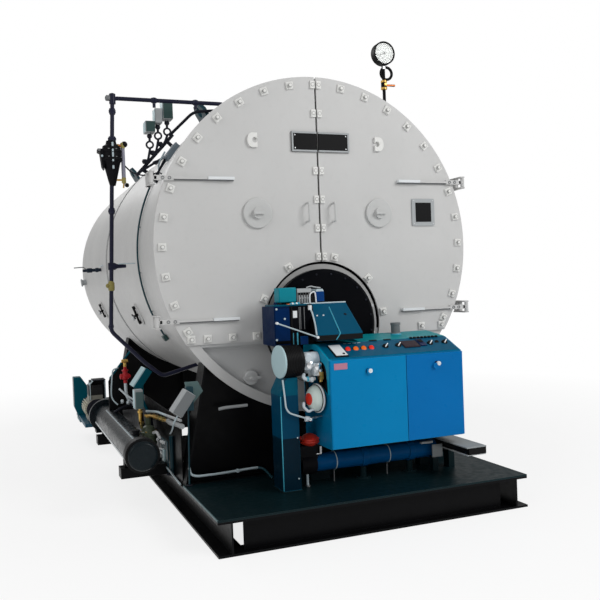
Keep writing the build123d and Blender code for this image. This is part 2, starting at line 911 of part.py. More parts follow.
def panel_frame():
    # local X to the right, local Y up the slope, local Z out of the sloped panel
    low = (cabinet_front_y + cabinet_door_thickness, -cabinet_slope_front_drop)
    high = (cabinet_slope_rear_y, -cabinet_top_drop)
    run = high[0] - low[0]
    rise = high[1] - low[1]
    length = sqrt(run * run + rise * rise)
    normal = (0, -rise / length, run / length)
    middle_x = (cabinet_left_x + cabinet_right_x) / 2
    origin = (middle_x, (low[0] + high[0]) / 2, axis_height + (low[1] + high[1]) / 2)
    return Plane(origin=origin, x_dir=(1, 0, 0), z_dir=normal), length


def control_panel():
    place, length = panel_frame()
    width = cabinet_right_x - cabinet_left_x - 2 * panel_margin
    return place * slab(width, length - panel_margin, panel_thickness)


def panel_controls():
    place = panel_frame()[0]
    width = cabinet_right_x - cabinet_left_x
    middle_x = width / 2
    made = []
    for share in lamp_shares:
        made.append(place * Pos(share * width - middle_x, 0, panel_thickness) * stud(lamp_radius, lamp_height))
    for share in knob_shares:
        made.append(place * Pos(share * width - middle_x, 0, panel_thickness) * stud(knob_radius, knob_height))
    display = slab(display_width, display_height, panel_thickness)
    made.append(place * Pos(display_share * width - middle_x, 0, panel_thickness) * display)
    return group(made)


# Gas line

def gas_pipe():
    z = gas_pipe_height
    pipe = rod((gas_pipe_left_x, gas_pipe_y, z), (gas_pipe_right_x, gas_pipe_y, z), gas_pipe_radius)
    bands = []
    for x in band_x:
        bands.append(rod((x, gas_pipe_y, z), (x + strap_band_width, gas_pipe_y, z),
                         gas_pipe_radius + strap_band_thickness))
    return pipe + bands[0] + bands[1]


def gas_valve():
    z = gas_pipe_height
    x1 = gas_pipe_left_x - seat_gap
    body = rod((x1 - gas_valve_length, gas_pipe_y, z), (x1, gas_pipe_y, z), gas_valve_radius)
    x = x1 - gas_valve_length / 2
    neck_top = z + gas_valve_radius + gas_neck_height
    neck = rod((x, gas_pipe_y, z), (x, gas_pipe_y, neck_top), gas_valve_radius / 2)
    return body + neck


def gas_regulator():
    x = gas_pipe_left_x - seat_gap - gas_valve_length / 2
    low = gas_pipe_height + gas_valve_radius + gas_neck_height + seat_gap
    base_top = low + regulator_height * regulator_base_share
    base = rod((x, gas_pipe_y, low), (x, gas_pipe_y, base_top), regulator_radius)
    top = rod((x, gas_pipe_y, low), (x, gas_pipe_y, low + regulator_height), regulator_radius * regulator_top_share)
    return base + top


def pipe_supports():
    deck = beam_height + deck_thickness
    z = gas_pipe_height - gas_pipe_radius - strap_band_thickness
    made = []
    for x in band_x:
        mid = x + strap_band_width / 2
        post = rod((mid, gas_pipe_y, deck), (mid, gas_pipe_y, z), leg_radius)
        foot = rod((mid, gas_pipe_y, deck), (mid, gas_pipe_y, deck + leg_foot_thickness), leg_foot_radius)
        made.append(post + foot)
    return group(made)


def cabinet_legs():
    deck = beam_height + deck_thickness
    top = cabinet_floor_height
    rear = (cabinet_rear_y - bracket_channel_depth, cabinet_rear_y)
    made = []
    for x in (cabinet_left_x, cabinet_right_x - bracket_channel_width):
        made.append(block((x, x + bracket_channel_width), rear, (deck, top)))
    return group(made)


# Water column and drum fittings

def water_column_pipes():
    x = column_x
    y = column_y
    joint = axis_height + sqrt(shell_radius ** 2 - column_head_x ** 2)
    top = joint + column_head_rise
    low = axis_height + column_low
    drain_z = axis_height + drain_low
    upper_points = [(x, y, axis_height + float_top), (x, y, top), (column_head_x, y, top)]
    upper_points.append((column_head_x, y, joint - overrun))
    lower_points = [(x, y, axis_height + float_low), (x, y, low), (drain_reach_x, y, drain_z)]
    lower_points.append((drain_reach_x + overrun, y, drain_z - 2 * overrun))
    upper = pipe_run(upper_points, column_pipe_radius, column_union_radius)
    lower = pipe_run(lower_points, column_pipe_radius, column_union_radius)
    side_z = axis_height - column_union_gap
    side = rod((x, y, side_z), (-shell_radius + overrun * 2, y, side_z), column_pipe_radius)
    unions = []
    for z in (top - column_union_gap, axis_height, low + column_union_gap):
        unions.append(rod((x, y, z), (x, y, z + column_union_length), column_union_radius))
    tees = rod((x - column_union_radius, y, top), (x + column_union_radius, y, top), column_union_radius)
    upper = upper + unions[0] + tees
    lower = lower + unions[1] + unions[2] + side
    return group([off_shell(upper), off_shell(lower)])


def float_control():
    z0 = axis_height + float_low + seat_gap
    z1 = axis_height + float_top - seat_gap
    step = (z1 - z0) / float_steps
    waist = float_radius * float_waist_share
    outline = Polyline(
        (0, 0), (float_neck_radius, 0), (float_neck_radius, step), (waist, 2 * step),
        (waist, 3 * step), (float_radius, 3 * step), (float_radius, z1 - z0 - step),
        (float_neck_radius, z1 - z0 - step), (float_neck_radius, z1 - z0), (0, z1 - z0), close=True)
    body = revolve(Plane.XZ * make_face(outline), Axis.Z)
    return Pos(column_x, column_y, z0) * body


def gauge_glass():
    z0 = axis_height + glass_low
    z1 = axis_height + glass_top
    rod_part = rod((glass_x, column_y, z0), (glass_x, column_y, z1), glass_radius)
    made = rod_part
    for z in (z0, z1):
        made = made + Pos(glass_x, column_y, z) * Box(glass_head, glass_head, glass_head)
        reach = (glass_x, column_y, z)
        root = (column_x + float_neck_radius + seat_gap, column_y, z)
        made = made + rod(reach, root, glass_radius)
    return made


def lifting_lug(y):
    place = around(lug_angle, y, shell_radius)
    plate = Pos(0, 0, (lug_height - overrun) / 2) * Box(lug_width, lug_thickness, lug_height + overrun)
    plate = chamfer(plate.edges().filter_by(Axis.Y).group_by(Axis.Z)[-1], lug_height / 3)
    hole = Pos(0, 0, lug_hole_rise) * Rot(90, 0, 0) * Cylinder(lug_hole_radius, lug_thickness * 2)
    return off_shell(place * (plate - hole))


def lifting_lugs():
    left = [lifting_lug(lug_front_y), lifting_lug(lug_rear_y)]
    return group(left + [mirrored(shape) for shape in left])


def top_outlets():
    # flanged steam nozzle and the flue collar on top of the drum
    top = axis_height + shell_radius
    nozzle_length = nozzle_height + nozzle_inset
    axis = Pos(0, nozzle_y, top - nozzle_inset)
    nozzle = axis * stud(nozzle_pipe_radius, nozzle_length)
    flange = stud(nozzle_flange_radius, nozzle_flange)
    for step in range(nozzle_bolts):
        turn = Rot(0, 0, (step + 0.5) * 360 / nozzle_bolts)
        flange = flange - turn * Pos(nozzle_bolt_circle, 0) * stud(nozzle_bolt_radius, nozzle_flange)
    nozzle = nozzle + Pos(0, nozzle_y, top + nozzle_height - nozzle_flange) * flange
    nozzle = nozzle - axis * stud(nozzle_bore_radius, nozzle_length)
    flue_length = flue_height + flue_inset
    collar_place = Pos(0, flue_y, top - flue_inset)
    collar = collar_place * stud(flue_radius, flue_length)
    rim = stud(flue_radius + flue_rim, flue_wall)
    collar = collar + Pos(0, flue_y, top + flue_height - flue_wall) * rim
    collar = collar - collar_place * stud(flue_radius - flue_wall, flue_length)
    return group([nozzle, collar])


def control_manifold():
    made = []
    for step in range(manifold_count):
        root = around(manifold_angle - step * manifold_step_angle, manifold_y + step * manifold_pitch,
                      shell_radius - overrun)
        made.append(off_shell(root * stud(manifold_radius, manifold_rise + overrun)))
    return group(made)


def pressure_controls():
    made = []
    for step, height in enumerate(control_box_heights):
        seat = around(manifold_angle - step * manifold_step_angle, manifold_y + step * manifold_pitch,
                      shell_radius + manifold_rise + seat_gap)
        made.append(seat * slab(control_box_width, control_box_depth, height))
    return group(made)


def junction_box():
    seat = around(junction_angle, junction_y, shell_radius - seat_gap)
    return off_shell(seat * slab(junction_side, junction_side, junction_height))


def conduit_ring():
    ring = drum(shell_radius + seat_gap + 2 * conduit_radius, conduit_ring_y, conduit_ring_y + conduit_radius)
    ring = ring - drum(shell_radius + seat_gap, 0, shell_rear_y)
    start = radians(conduit_start_angle)
    end = radians(conduit_end_angle)
    reach = 2 * shell_radius
    wedge = make_face(Polyline(
        (0, 0), (-reach * sin(start), reach * cos(start)), (-reach, 0), (-reach * sin(end), reach * cos(end)),
        close=True))
    return ring & extrude(front(conduit_ring_y + overrun) * wedge, amount=2 * overrun)


def pressure_gauge():
    z = axis_height + gauge_rise
    place = Plane(origin=(gauge_x, gauge_y, z), x_dir=(1, 0, 0), z_dir=(0, -1, 0))
    case = stud(gauge_radius, gauge_depth)
    case = case - Pos(0, 0, gauge_depth - gauge_rim_depth) * stud(gauge_radius * gauge_face_share, gauge_depth)
    return place * case


def gauge_stem():
    y = gauge_y - gauge_depth / 2
    top = axis_height + gauge_rise - gauge_radius - seat_gap
    base_z = axis_height + gauge_base - overrun
    cock_z = axis_height + cock_rise
    handle_z = cock_z + cock_radius
    loop_z = cock_z + 3 * cock_radius + siphon_radius
    stem = rod((gauge_x, y, base_z), (gauge_x, y, top), gauge_stem_radius)
    cock = rod((gauge_x, y, cock_z), (gauge_x, y, cock_z + 2 * cock_radius), cock_radius)
    loop = Torus(siphon_radius, gauge_stem_radius * siphon_tube_share)
    loop = Pos(gauge_x + siphon_radius / 2, y, loop_z) * Rot(90, 0, 0) * loop
    handle = rod((gauge_x, y, handle_z), (gauge_x + cock_handle, y, handle_z), cock_radius / 3)
    return off_smokebox(stem + cock + loop + handle)


def handhole(y, angle):
    place = around(angle, y, shell_radius - overrun)
    ring = stud(handhole_radius, handhole_depth + overrun)
    yoke = Pos(0, 0, overrun + handhole_depth) * slab(
        handhole_radius * handhole_yoke_share, handhole_yoke, handhole_yoke)
    bolt = Pos(0, 0, overrun + handhole_depth + handhole_yoke) * stud(handhole_yoke / 2, handhole_yoke)
    return off_shell(place * (ring + yoke + bolt))


def handhole_covers():
    left = [handhole(y, handhole_angle) for y in handhole_y]
    return group(left + [mirrored(shape) for shape in left])


# Oil heating set

def oil_heater():
    z = heater_height
    body = drum(heater_radius, heater_front_y, heater_rear_y, heater_x, z)
    body = fillet(body.edges().group_by(Axis.Y)[0], heater_radius / 4)
    flange = drum(heater_flange_radius, heater_rear_y, heater_rear_y + heater_flange_thickness, heater_x, z)
    return body + flange


def outrigger(y, outer_x):
    # a channel arm on the web of the left beam
    root = -skid_half_width + beam_flange_width / 2 - beam_web / 2 - seat_gap
    clear = -skid_half_width - seat_gap
    high = beam_height
    arm = block((outer_x, clear), (y - outrigger_width / 2, y + outrigger_width / 2), (high - outrigger_depth, high))
    slot = block((outer_x - overrun, clear - outrigger_wall),
                 (y - outrigger_width / 2 + outrigger_wall, y + outrigger_width / 2 - outrigger_wall),
                 (0, high - outrigger_wall))
    tongue = block((clear, root), (y - outrigger_wall, y + outrigger_wall),
                   (high - outrigger_depth, high - beam_flange - seat_gap))
    return arm - slot + tongue


def outriggers():
    arms = [outrigger(y, outrigger_outer_x) for y in heater_foot_y + pump_base_y]
    return group(arms + [heater_feet()])


def heater_feet():
    made = []
    for y in heater_foot_y:
        foot = block((heater_x - foot_width / 2, heater_x + foot_width / 2),
                     (y - foot_thickness / 2, y + foot_thickness / 2), (beam_height + seat_gap, heater_height))
        made.append(foot - drum(heater_radius + seat_gap, heater_front_y, heater_rear_y, heater_x, heater_height))
    return group(made)


def pump_set():
    z0 = beam_height + seat_gap
    base_x = (motor_x - motor_axis_rise, motor_x + motor_axis_rise)
    base = block(base_x, (pump_base_y[0] - outrigger_width / 2, pump_base_y[1] + outrigger_width / 2),
                 (z0, z0 + pump_base_thickness))
    axis_z = z0 + pump_base_thickness + motor_axis_rise
    foot_x = (motor_x - motor_foot_half_width, motor_x + motor_foot_half_width)
    foot = block(foot_x, (motor_y[0] + overrun, motor_y[1] - overrun), (z0, axis_z))
    motor = drum(motor_radius, motor_y[0], motor_y[1], motor_x, axis_z)
    box = block((motor_x - motor_box_side / 2, motor_x + motor_box_side / 2),
                (motor_y[0] + overrun, motor_y[0] + overrun + motor_box_side),
                (axis_z, axis_z + motor_radius + motor_box_side))
    pump = drum(pump_radius, motor_y[1], guard_y[0] - seat_gap, motor_x, axis_z)
    pump_foot = block((motor_x - pump_radius / 2, motor_x + pump_radius / 2), pump_y, (z0, axis_z))
    return base + foot + motor + box + pump + pump_foot


def belt_guard():
    z0 = beam_height + seat_gap + pump_base_thickness + seat_gap
    guard = block((motor_x - guard_half_width, motor_x + guard_half_width), guard_y, (z0, z0 + guard_height))
    return fillet(guard.edges().filter_by(Axis.Y).group_by(Axis.Z)[-1], guard_half_width / 2)


def strainer():
    low = strainer_low_height
    body = rod((strainer_x, strainer_y, low), (strainer_x, strainer_y, low + strainer_height), strainer_radius)
    post = rod((strainer_x, strainer_y, beam_height - beam_flange), (strainer_x, strainer_y, low), strainer_radius / 3)
    cap = rod((strainer_x, strainer_y, low + strainer_height),
              (strainer_x, strainer_y, low + strainer_height + strainer_radius), strainer_radius / 2)
    arm = block((strainer_x - strainer_radius / 2, -skid_half_width - seat_gap),
                (strainer_y - strainer_radius / 2, strainer_y + strainer_radius / 2),
                (beam_height - beam_flange * 2, beam_height))
    return body + post + cap + arm


def side_post():
    z0 = beam_height + seat_gap
    post = block((stanchion_x - stanchion_side / 2, stanchion_x + stanchion_side / 2),
                 (stanchion_y - stanchion_side / 2, stanchion_y + stanchion_side / 2), (z0, stanchion_top_height))
    return post


def side_box():
    z1 = stanchion_top_height - stanchion_side
    x1 = stanchion_x - stanchion_side / 2 - seat_gap
    w, d, h = side_box_size
    return block((x1 - w, x1), (stanchion_y - d / 2, stanchion_y + d / 2), (z1 - h, z1))


def thermostat():
    w, d, h = thermostat_size
    z0 = heater_height + heater_radius
    neck = rod((heater_x, thermostat_y, z0 - overrun), (heater_x, thermostat_y, z0 + h), w / 6)
    box = block((heater_x - w / 2, heater_x + w / 2), (thermostat_y - d / 2, thermostat_y + d / 2), (z0 + h, z0 + 2 * h))
    return neck + box - drum(heater_radius + seat_gap, heater_front_y, heater_rear_y, heater_x, heater_height)


def all_parts():
    parts = {}
    parts.update(skid_parts())
    parts["saddles"] = group([saddle(front_saddle_y), saddle(rear_saddle_y)])
    parts["boiler_shell"] = shell()
    parts["rear_head"] = rear_head()
    parts["tube_sheet"] = tube_sheet()
    parts["smokebox"] = smokebox()
    parts["lower_front_plate"] = lower_front() + inspection_cap()
    parts["burner_sleeve"] = burner_sleeve()
    parts.update(door_parts())
    parts["burner_drum"] = burner_drum()
    parts["burner_housing"] = burner_mid()
    parts["air_hood"] = air_hood()
    parts["burner_top_boxes"] = top_boxes()
    parts["air_filter"] = air_filter()
    parts["fuel_pump"] = fuel_pump()
    parts["pressure_switch"] = pressure_switch()
    parts["blower_housing"] = blower_housing()
    parts["cabinet_body"] = cabinet_body()
    parts["cabinet_left_door"] = cabinet_door(cabinet_left_x, cabinet_seam_x)
    parts["cabinet_right_door"] = cabinet_door(cabinet_right_x, cabinet_seam_x)
    parts["control_panel"] = control_panel()
    parts["panel_controls"] = panel_controls()
    parts["gas_pipe"] = gas_pipe()
    parts["gas_valve"] = gas_valve()
    parts["gas_regulator"] = gas_regulator()
    parts["pipe_supports"] = pipe_supports()
    parts["cabinet_legs"] = cabinet_legs()
    parts["water_column_pipes"] = water_column_pipes()
    parts["float_control"] = float_control()
    parts["gauge_glass"] = gauge_glass()
    parts["lifting_lugs"] = lifting_lugs()
    parts["top_outlets"] = top_outlets()
    parts["control_manifold"] = control_manifold()
    parts["pressure_controls"] = pressure_controls()
    parts["conduits"] = group([junction_box(), conduit_ring()])
    parts["pressure_gauge"] = pressure_gauge()
    parts["gauge_stem"] = gauge_stem()
    parts["handhole_covers"] = handhole_covers()
    parts["oil_heater"] = oil_heater()
    parts["outriggers"] = outriggers()
    parts["pump_set"] = pump_set()
    parts["belt_guard"] = belt_guard()
    parts["strainer"] = strainer()
    parts["side_controls"] = group([side_post(), side_box()])
    parts["thermostat"] = thermostat()
    return parts


for name, shape in all_parts().items():
    export_step(shape, "parts/" + name + ".step")
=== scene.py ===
import math

import bmesh
import bpy
from mathutils import Matrix, Vector


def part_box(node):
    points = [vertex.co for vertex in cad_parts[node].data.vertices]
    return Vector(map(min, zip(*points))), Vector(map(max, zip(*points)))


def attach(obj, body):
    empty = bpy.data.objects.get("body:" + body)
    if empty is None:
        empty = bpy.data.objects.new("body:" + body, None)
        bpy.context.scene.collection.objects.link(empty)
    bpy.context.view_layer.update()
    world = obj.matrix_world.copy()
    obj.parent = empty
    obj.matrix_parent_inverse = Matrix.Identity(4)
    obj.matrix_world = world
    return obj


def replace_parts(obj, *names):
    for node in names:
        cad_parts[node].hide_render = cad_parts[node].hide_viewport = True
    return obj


# Looks of a horizontal fire tube boiler on its skid. Metres, in the frame of the CAD model.

X = Vector((1, 0, 0))
Y = Vector((0, 1, 0))
Z = Vector((0, 0, 1))
PLANT = "plant"
LEFT_LEAF = "left_door_leaf"
RIGHT_LEAF = "right_door_leaf"
CABINET_LEFT = "cabinet_left_leaf"
CABINET_RIGHT = "cabinet_right_leaf"
MM = 0.001

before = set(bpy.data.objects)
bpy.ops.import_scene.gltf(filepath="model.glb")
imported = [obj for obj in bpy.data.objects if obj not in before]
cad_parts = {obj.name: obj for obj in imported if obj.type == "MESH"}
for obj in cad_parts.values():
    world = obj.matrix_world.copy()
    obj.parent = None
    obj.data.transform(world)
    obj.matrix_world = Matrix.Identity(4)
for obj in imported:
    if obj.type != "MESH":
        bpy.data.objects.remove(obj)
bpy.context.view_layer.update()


def centre(node):
    # the middle of a CAD node
    low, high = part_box(node)
    return (low + high) / 2


def size(node):
    # the three lengths of a CAD node
    low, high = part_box(node)
    return high - low


DRUM_Z = centre("boiler_shell").z
DECK_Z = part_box("deck_plate")[1].z
SHELL_RADIUS = size("boiler_shell").x / 2
BURNER_Z = centre("burner_sleeve").z


# Materials

def srgb(red, green, blue):
    # a linear colour from screen values of 0 to 255
    def linear(value):
        value = value / 255
        return value / 12.92 if value <= 0.04045 else ((value + 0.055) / 1.055) ** 2.4
    return (linear(red), linear(green), linear(blue), 1)


def scaled(colour, share):
    # a lighter or darker colour
    return tuple(min(1, part * share) for part in colour[:3]) + (1,)


class Surface:
    """A node material and short ways to add to it."""

    def __init__(self, name):
        self.material = bpy.data.materials.new(name)
        self.material.use_nodes = True
        self.tree = self.material.node_tree
        self.shader = self.tree.nodes["Principled BSDF"]
        self.coords = self.add("ShaderNodeTexCoord").outputs["Object"]

    def add(self, kind, **values):
        node = self.tree.nodes.new(kind)
        for key, value in values.items():
            setattr(node, key, value)
        return node

    def link(self, source, target):
        self.tree.links.new(source, target)

    def noise(self, scale, detail=3, stretch=(1, 1, 1)):
        place = self.add("ShaderNodeMapping")
        place.inputs["Scale"].default_value = stretch
        self.link(self.coords, place.inputs["Vector"])
        node = self.add("ShaderNodeTexNoise")
        node.inputs["Scale"].default_value = scale
        node.inputs["Detail"].default_value = detail
        self.link(place.outputs["Vector"], node.inputs["Vector"])
        return node.outputs["Fac"]

    def spread(self, source, low, high, start=0.3, end=0.7):
        node = self.add("ShaderNodeMapRange")
        node.inputs["From Min"].default_value = start
        node.inputs["From Max"].default_value = end
        node.inputs["To Min"].default_value = low
        node.inputs["To Max"].default_value = high
        self.link(source, node.inputs["Value"])
        return node.outputs["Result"]

    def mix(self, factor, first, second):
        node = self.add("ShaderNodeMix", data_type="RGBA")
        self.link(factor, node.inputs[0])
        for socket, value in ((node.inputs[6], first), (node.inputs[7], second)):
            if isinstance(value, tuple):
                socket.default_value = value
            else:
                self.link(value, socket)
        return node.outputs[2]

    def math(self, operation, first, second, third=0.0):
        node = self.add("ShaderNodeMath", operation=operation)
        for socket, value in zip(node.inputs, (first, second, third)):
            if isinstance(value, (int, float)):
                socket.default_value = value
            else:
                self.link(value, socket)
        return node.outputs[0]

    def inside(self, low, high):
        # one inside a box between two corners, else zero
        parts = self.add("ShaderNodeSeparateXYZ")
        self.link(self.coords, parts.inputs[0])
        result = None
        for axis in range(3):
            middle = (low[axis] + high[axis]) / 2
            reach = (high[axis] - low[axis]) / 2
            step = self.math("COMPARE", parts.outputs[axis], middle, reach)
            result = step if result is None else self.math("MULTIPLY", result, step)
        return result

    def edges(self, width):
        # one at sharp edges, else zero
        bevel = self.add("ShaderNodeBevel", samples=4)
        bevel.inputs["Radius"].default_value = width
        plain = self.add("ShaderNodeNewGeometry").outputs["Normal"]
        dot = self.add("ShaderNodeVectorMath", operation="DOT_PRODUCT")
        self.link(bevel.outputs[0], dot.inputs[0])
        self.link(plain, dot.inputs[1])
        return self.spread(dot.outputs["Value"], 1.0, 0.0, 0.75, 0.99)

    def bump(self, height, strength, distance):
        node = self.add("ShaderNodeBump")
        node.inputs["Strength"].default_value = strength
        node.inputs["Distance"].default_value = distance
        self.link(height, node.inputs["Height"])
        self.link(node.outputs[0], self.shader.inputs["Normal"])

    def finish(self, colour, rough, metallic=0.0):
        if isinstance(colour, tuple):
            self.shader.inputs["Base Color"].default_value = colour
        else:
            self.link(colour, self.shader.inputs["Base Color"])
        if isinstance(rough, float):
            self.shader.inputs["Roughness"].default_value = rough
        else:
            self.link(rough, self.shader.inputs["Roughness"])
        self.shader.inputs["Metallic"].default_value = metallic
        return self.material


# texture scales per metre, depths in metres
DRIFT_SCALE = 1.6
DUST_SCALE = 24
DUST_SHARE = 0.1
# share of the painted edge highlight in the edge colour
EDGE_HIGHLIGHT_SHARE = 0.75
PEEL_SCALE = 380
PEEL_DEPTH = 0.0006
CAST_SCALE = 9
SAND_SCALE = 170
SAND_DEPTH = 0.0012
MOULD_SCALE = 14
SPARK_SCALE = 900
SPARK_DEPTH = 0.0003


def paint(name, colour, rough=0.36, mottle=0.05, peel=0.12, edge_highlight=None, zones=(), edge_width=0.004,
        gloss=0.3):
    """Sprayed enamel with slow colour drift, dust, orange peel and a painted highlight along its sharp
    edges.
    """
    surface = Surface(name)
    drift = surface.spread(surface.noise(DRIFT_SCALE, 4), 0.0, 1.0)
    tone = surface.mix(drift, scaled(colour, 1 - mottle), scaled(colour, 1 + mottle))
    for low, high, zone_colour in zones:
        drifting = surface.mix(drift, scaled(zone_colour, 1 - mottle),
                scaled(zone_colour, 1 + mottle))
        tone = surface.mix(surface.inside(low, high), tone, drifting)
    dust = surface.spread(surface.noise(DUST_SCALE, 6), 0.0, DUST_SHARE, 0.55, 0.75)
    tone = surface.mix(dust, tone, scaled(colour, 0.7))
    # painted highlight: sharp edges are lightened towards the given edge colour
    if edge_highlight:
        tone = surface.mix(surface.math("MULTIPLY", surface.edges(edge_width), EDGE_HIGHLIGHT_SHARE), tone,
                edge_highlight)
    surface.bump(surface.noise(PEEL_SCALE, 2), peel, PEEL_DEPTH)
    surface.shader.inputs["Specular IOR Level"].default_value = gloss
    return surface.finish(tone, surface.spread(surface.noise(30, 3), rough - 0.06, rough + 0.08))


def metal(name, colour, rough=0.34, grain=60, stretch=(1, 1, 1), zones=(), bumps=0.1):
    """Bare or plated metal with fine streaks."""
    surface = Surface(name)
    drift = surface.spread(surface.noise(grain, 4, stretch), 0.0, 1.0)
    tone = surface.mix(drift, scaled(colour, 0.82), scaled(colour, 1.12))
    for low, high, zone_colour in zones:
        tone = surface.mix(surface.inside(low, high), tone, zone_colour)
    surface.bump(surface.noise(grain * 6, 3, stretch), bumps, 0.0005)
    return surface.finish(tone, surface.spread(drift, rough - 0.08, rough + 0.12, 0, 1), 1.0)


def cast(name, colour, rough=0.6, edge_highlight=None, zones=()):
    """Cast iron or rough black enamel with a sandy skin and a painted highlight along its sharp edges.
    """
    surface = Surface(name)
    drift = surface.spread(surface.noise(CAST_SCALE, 5), 0.0, 1.0)
    tone = surface.mix(drift, scaled(colour, 0.7), scaled(colour, 1.35))
    for low, high, zone_colour in zones:
        tone = surface.mix(surface.inside(low, high), tone, zone_colour)
    # painted highlight: sharp edges are lightened towards the given edge colour
    if edge_highlight:
        tone = surface.mix(surface.math("MULTIPLY", surface.edges(0.003), 0.7), tone, edge_highlight)
    surface.bump(surface.noise(SAND_SCALE, 4), 0.35, SAND_DEPTH)
    surface.shader.inputs["Specular IOR Level"].default_value = 0.08
    return surface.finish(tone, surface.spread(drift, rough - 0.1, rough + 0.1, 0, 1))


def plastic(name, colour, rough=0.42, zones=(), glow=0.0):
    """Moulded plastic with a faint spark texture."""
    surface = Surface(name)
    tone = surface.mix(surface.spread(surface.noise(MOULD_SCALE, 4), 0.0, 1.0), scaled(colour, 0.93),
            scaled(colour, 1.07))
    for low, high, zone_colour in zones:
        tone = surface.mix(surface.inside(low, high), tone, zone_colour)
    surface.bump(surface.noise(SPARK_SCALE, 2), 0.15, SPARK_DEPTH)
    surface.shader.inputs["Specular IOR Level"].default_value = 0.14
    # glow makes the part give off light; where it is no lamp, that is painted light
    if glow:
        surface.shader.inputs["Emission Color"].default_value = colour
        surface.shader.inputs["Emission Strength"].default_value = glow
    return surface.finish(tone, rough)


def clear_glass(name):
    # window glass with a faint unevenness
    surface = Surface(name)
    tone = surface.mix(surface.spread(surface.noise(8, 2), 0.0, 1.0), (0.86, 0.92, 0.92, 1),
            (0.93, 0.96, 0.96, 1))
    surface.shader.inputs["Transmission Weight"].default_value = 0.92
    surface.shader.inputs["IOR"].default_value = 1.45
    return surface.finish(tone, 0.05)


GREY = srgb(206, 206, 205)
CLIP = srgb(236, 236, 233)

grey_paint = paint("grey_paint", GREY, 0.38, 0.035, 0.1)
shell_paint = paint("shell_paint", srgb(198, 198, 197), 0.42, 0.05, 0.12)
plate_paint = paint("plate_paint", srgb(200, 201, 201), 0.4, 0.04, 0.1)
clip_paint = paint("clip_paint", CLIP, 0.35, 0.03, 0.08)
black_paint = paint("black_paint", srgb(9, 9, 11), 0.36, 0.2, 0.14, edge_highlight=srgb(44, 48, 52),
        edge_width=0.002, gloss=0.08)
deck_paint = paint("deck_paint", srgb(10, 30, 34), 0.4, 0.25, 0.2, edge_highlight=srgb(56, 74, 78),
        edge_width=0.003, gloss=0.12)
cabinet_blue = paint("cabinet_blue", srgb(0, 110, 180), 0.33, 0.05, 0.08, edge_highlight=srgb(40, 150, 205),
        gloss=0.08)
door_blue = paint("door_blue", srgb(0, 130, 188), 0.33, 0.05, 0.08, edge_highlight=srgb(60, 165, 215),
        gloss=0.08)
panel_teal = paint("panel_teal", srgb(0, 86, 118), 0.36, 0.06, 0.08, edge_highlight=srgb(40, 160, 185),
        gloss=0.08)
hood_teal = paint("hood_teal", srgb(0, 78, 108), 0.34, 0.08, 0.08, edge_highlight=srgb(10, 110, 140),
        gloss=0.06)
box_teal = paint("box_teal", srgb(16, 134, 150), 0.34, 0.08, 0.08, edge_highlight=srgb(120, 190, 200),
        gloss=0.1)
box_navy = paint("box_navy", srgb(0, 56, 120), 0.34, 0.08, 0.08, edge_highlight=srgb(60, 140, 190), gloss=0.1)
# painted highlight: a lighter teal for the cabinet's lit top cover
top_lit_teal = paint("top_lit_teal", srgb(0, 142, 152), 0.34, 0.06, 0.08, edge_highlight=srgb(60, 180, 190), gloss=0.1)
grey_teal = paint("grey_teal", srgb(88, 112, 112), 0.4, 0.08, 0.1, edge_highlight=srgb(150, 168, 168),
        gloss=0.2)
edge_teal = paint("edge_teal", srgb(92, 116, 120), 0.4, 0.15, 0.1, gloss=0.2)
band_grey = paint("band_grey", srgb(176, 176, 175), 0.4, 0.06, 0.1)
clip_ring = paint("clip_ring", srgb(172, 172, 170), 0.4, 0.05, 0.08)
dark_red = paint("dark_red", srgb(176, 24, 34), 0.34, 0.1, 0.12)
dull_brass = cast("dull_brass", srgb(150, 140, 84), 0.45, edge_highlight=srgb(214, 204, 150))
guard_teal = paint("guard_teal", srgb(0, 84, 100), 0.36, 0.1, 0.1, edge_highlight=srgb(50, 120, 135),
        gloss=0.08)
pipe_blue = paint("pipe_blue", srgb(0, 80, 136), 0.34, 0.12, 0.12, edge_highlight=srgb(40, 120, 170),
        gloss=0.08)
# painted light: the blower's lower part is painted darker as shade near the deck, its upper part
# lighter where light falls
blower_blue = paint("blower_blue", srgb(0, 60, 88), 0.34, 0.12, 0.12, edge_highlight=srgb(20, 110, 140),
        gloss=0.06, zones=((Vector((-9, -9, -9)), Vector((9, 9, DRUM_Z - 1.1)), srgb(4, 30, 44)),
            (Vector((-9, -9, DRUM_Z - 0.86)), Vector((9, 9, 9)), srgb(0, 84, 108))))
pipe_dark = paint("pipe_dark", srgb(28, 30, 52), 0.34, 0.15, 0.12, edge_highlight=srgb(90, 96, 128),
        edge_width=0.002, gloss=0.2)
navy_iron = paint("navy_iron", srgb(26, 36, 50), 0.36, 0.12, 0.12, edge_highlight=srgb(96, 112, 128), gloss=0.2)
dark_teal = paint("dark_teal", srgb(18, 54, 64), 0.36, 0.12, 0.12, edge_highlight=srgb(90, 130, 138), gloss=0.2)
heater_paint = paint("heater_paint", srgb(20, 28, 32), 0.28, 0.2, 0.1, edge_highlight=srgb(50, 52, 56),
        gloss=0.12)
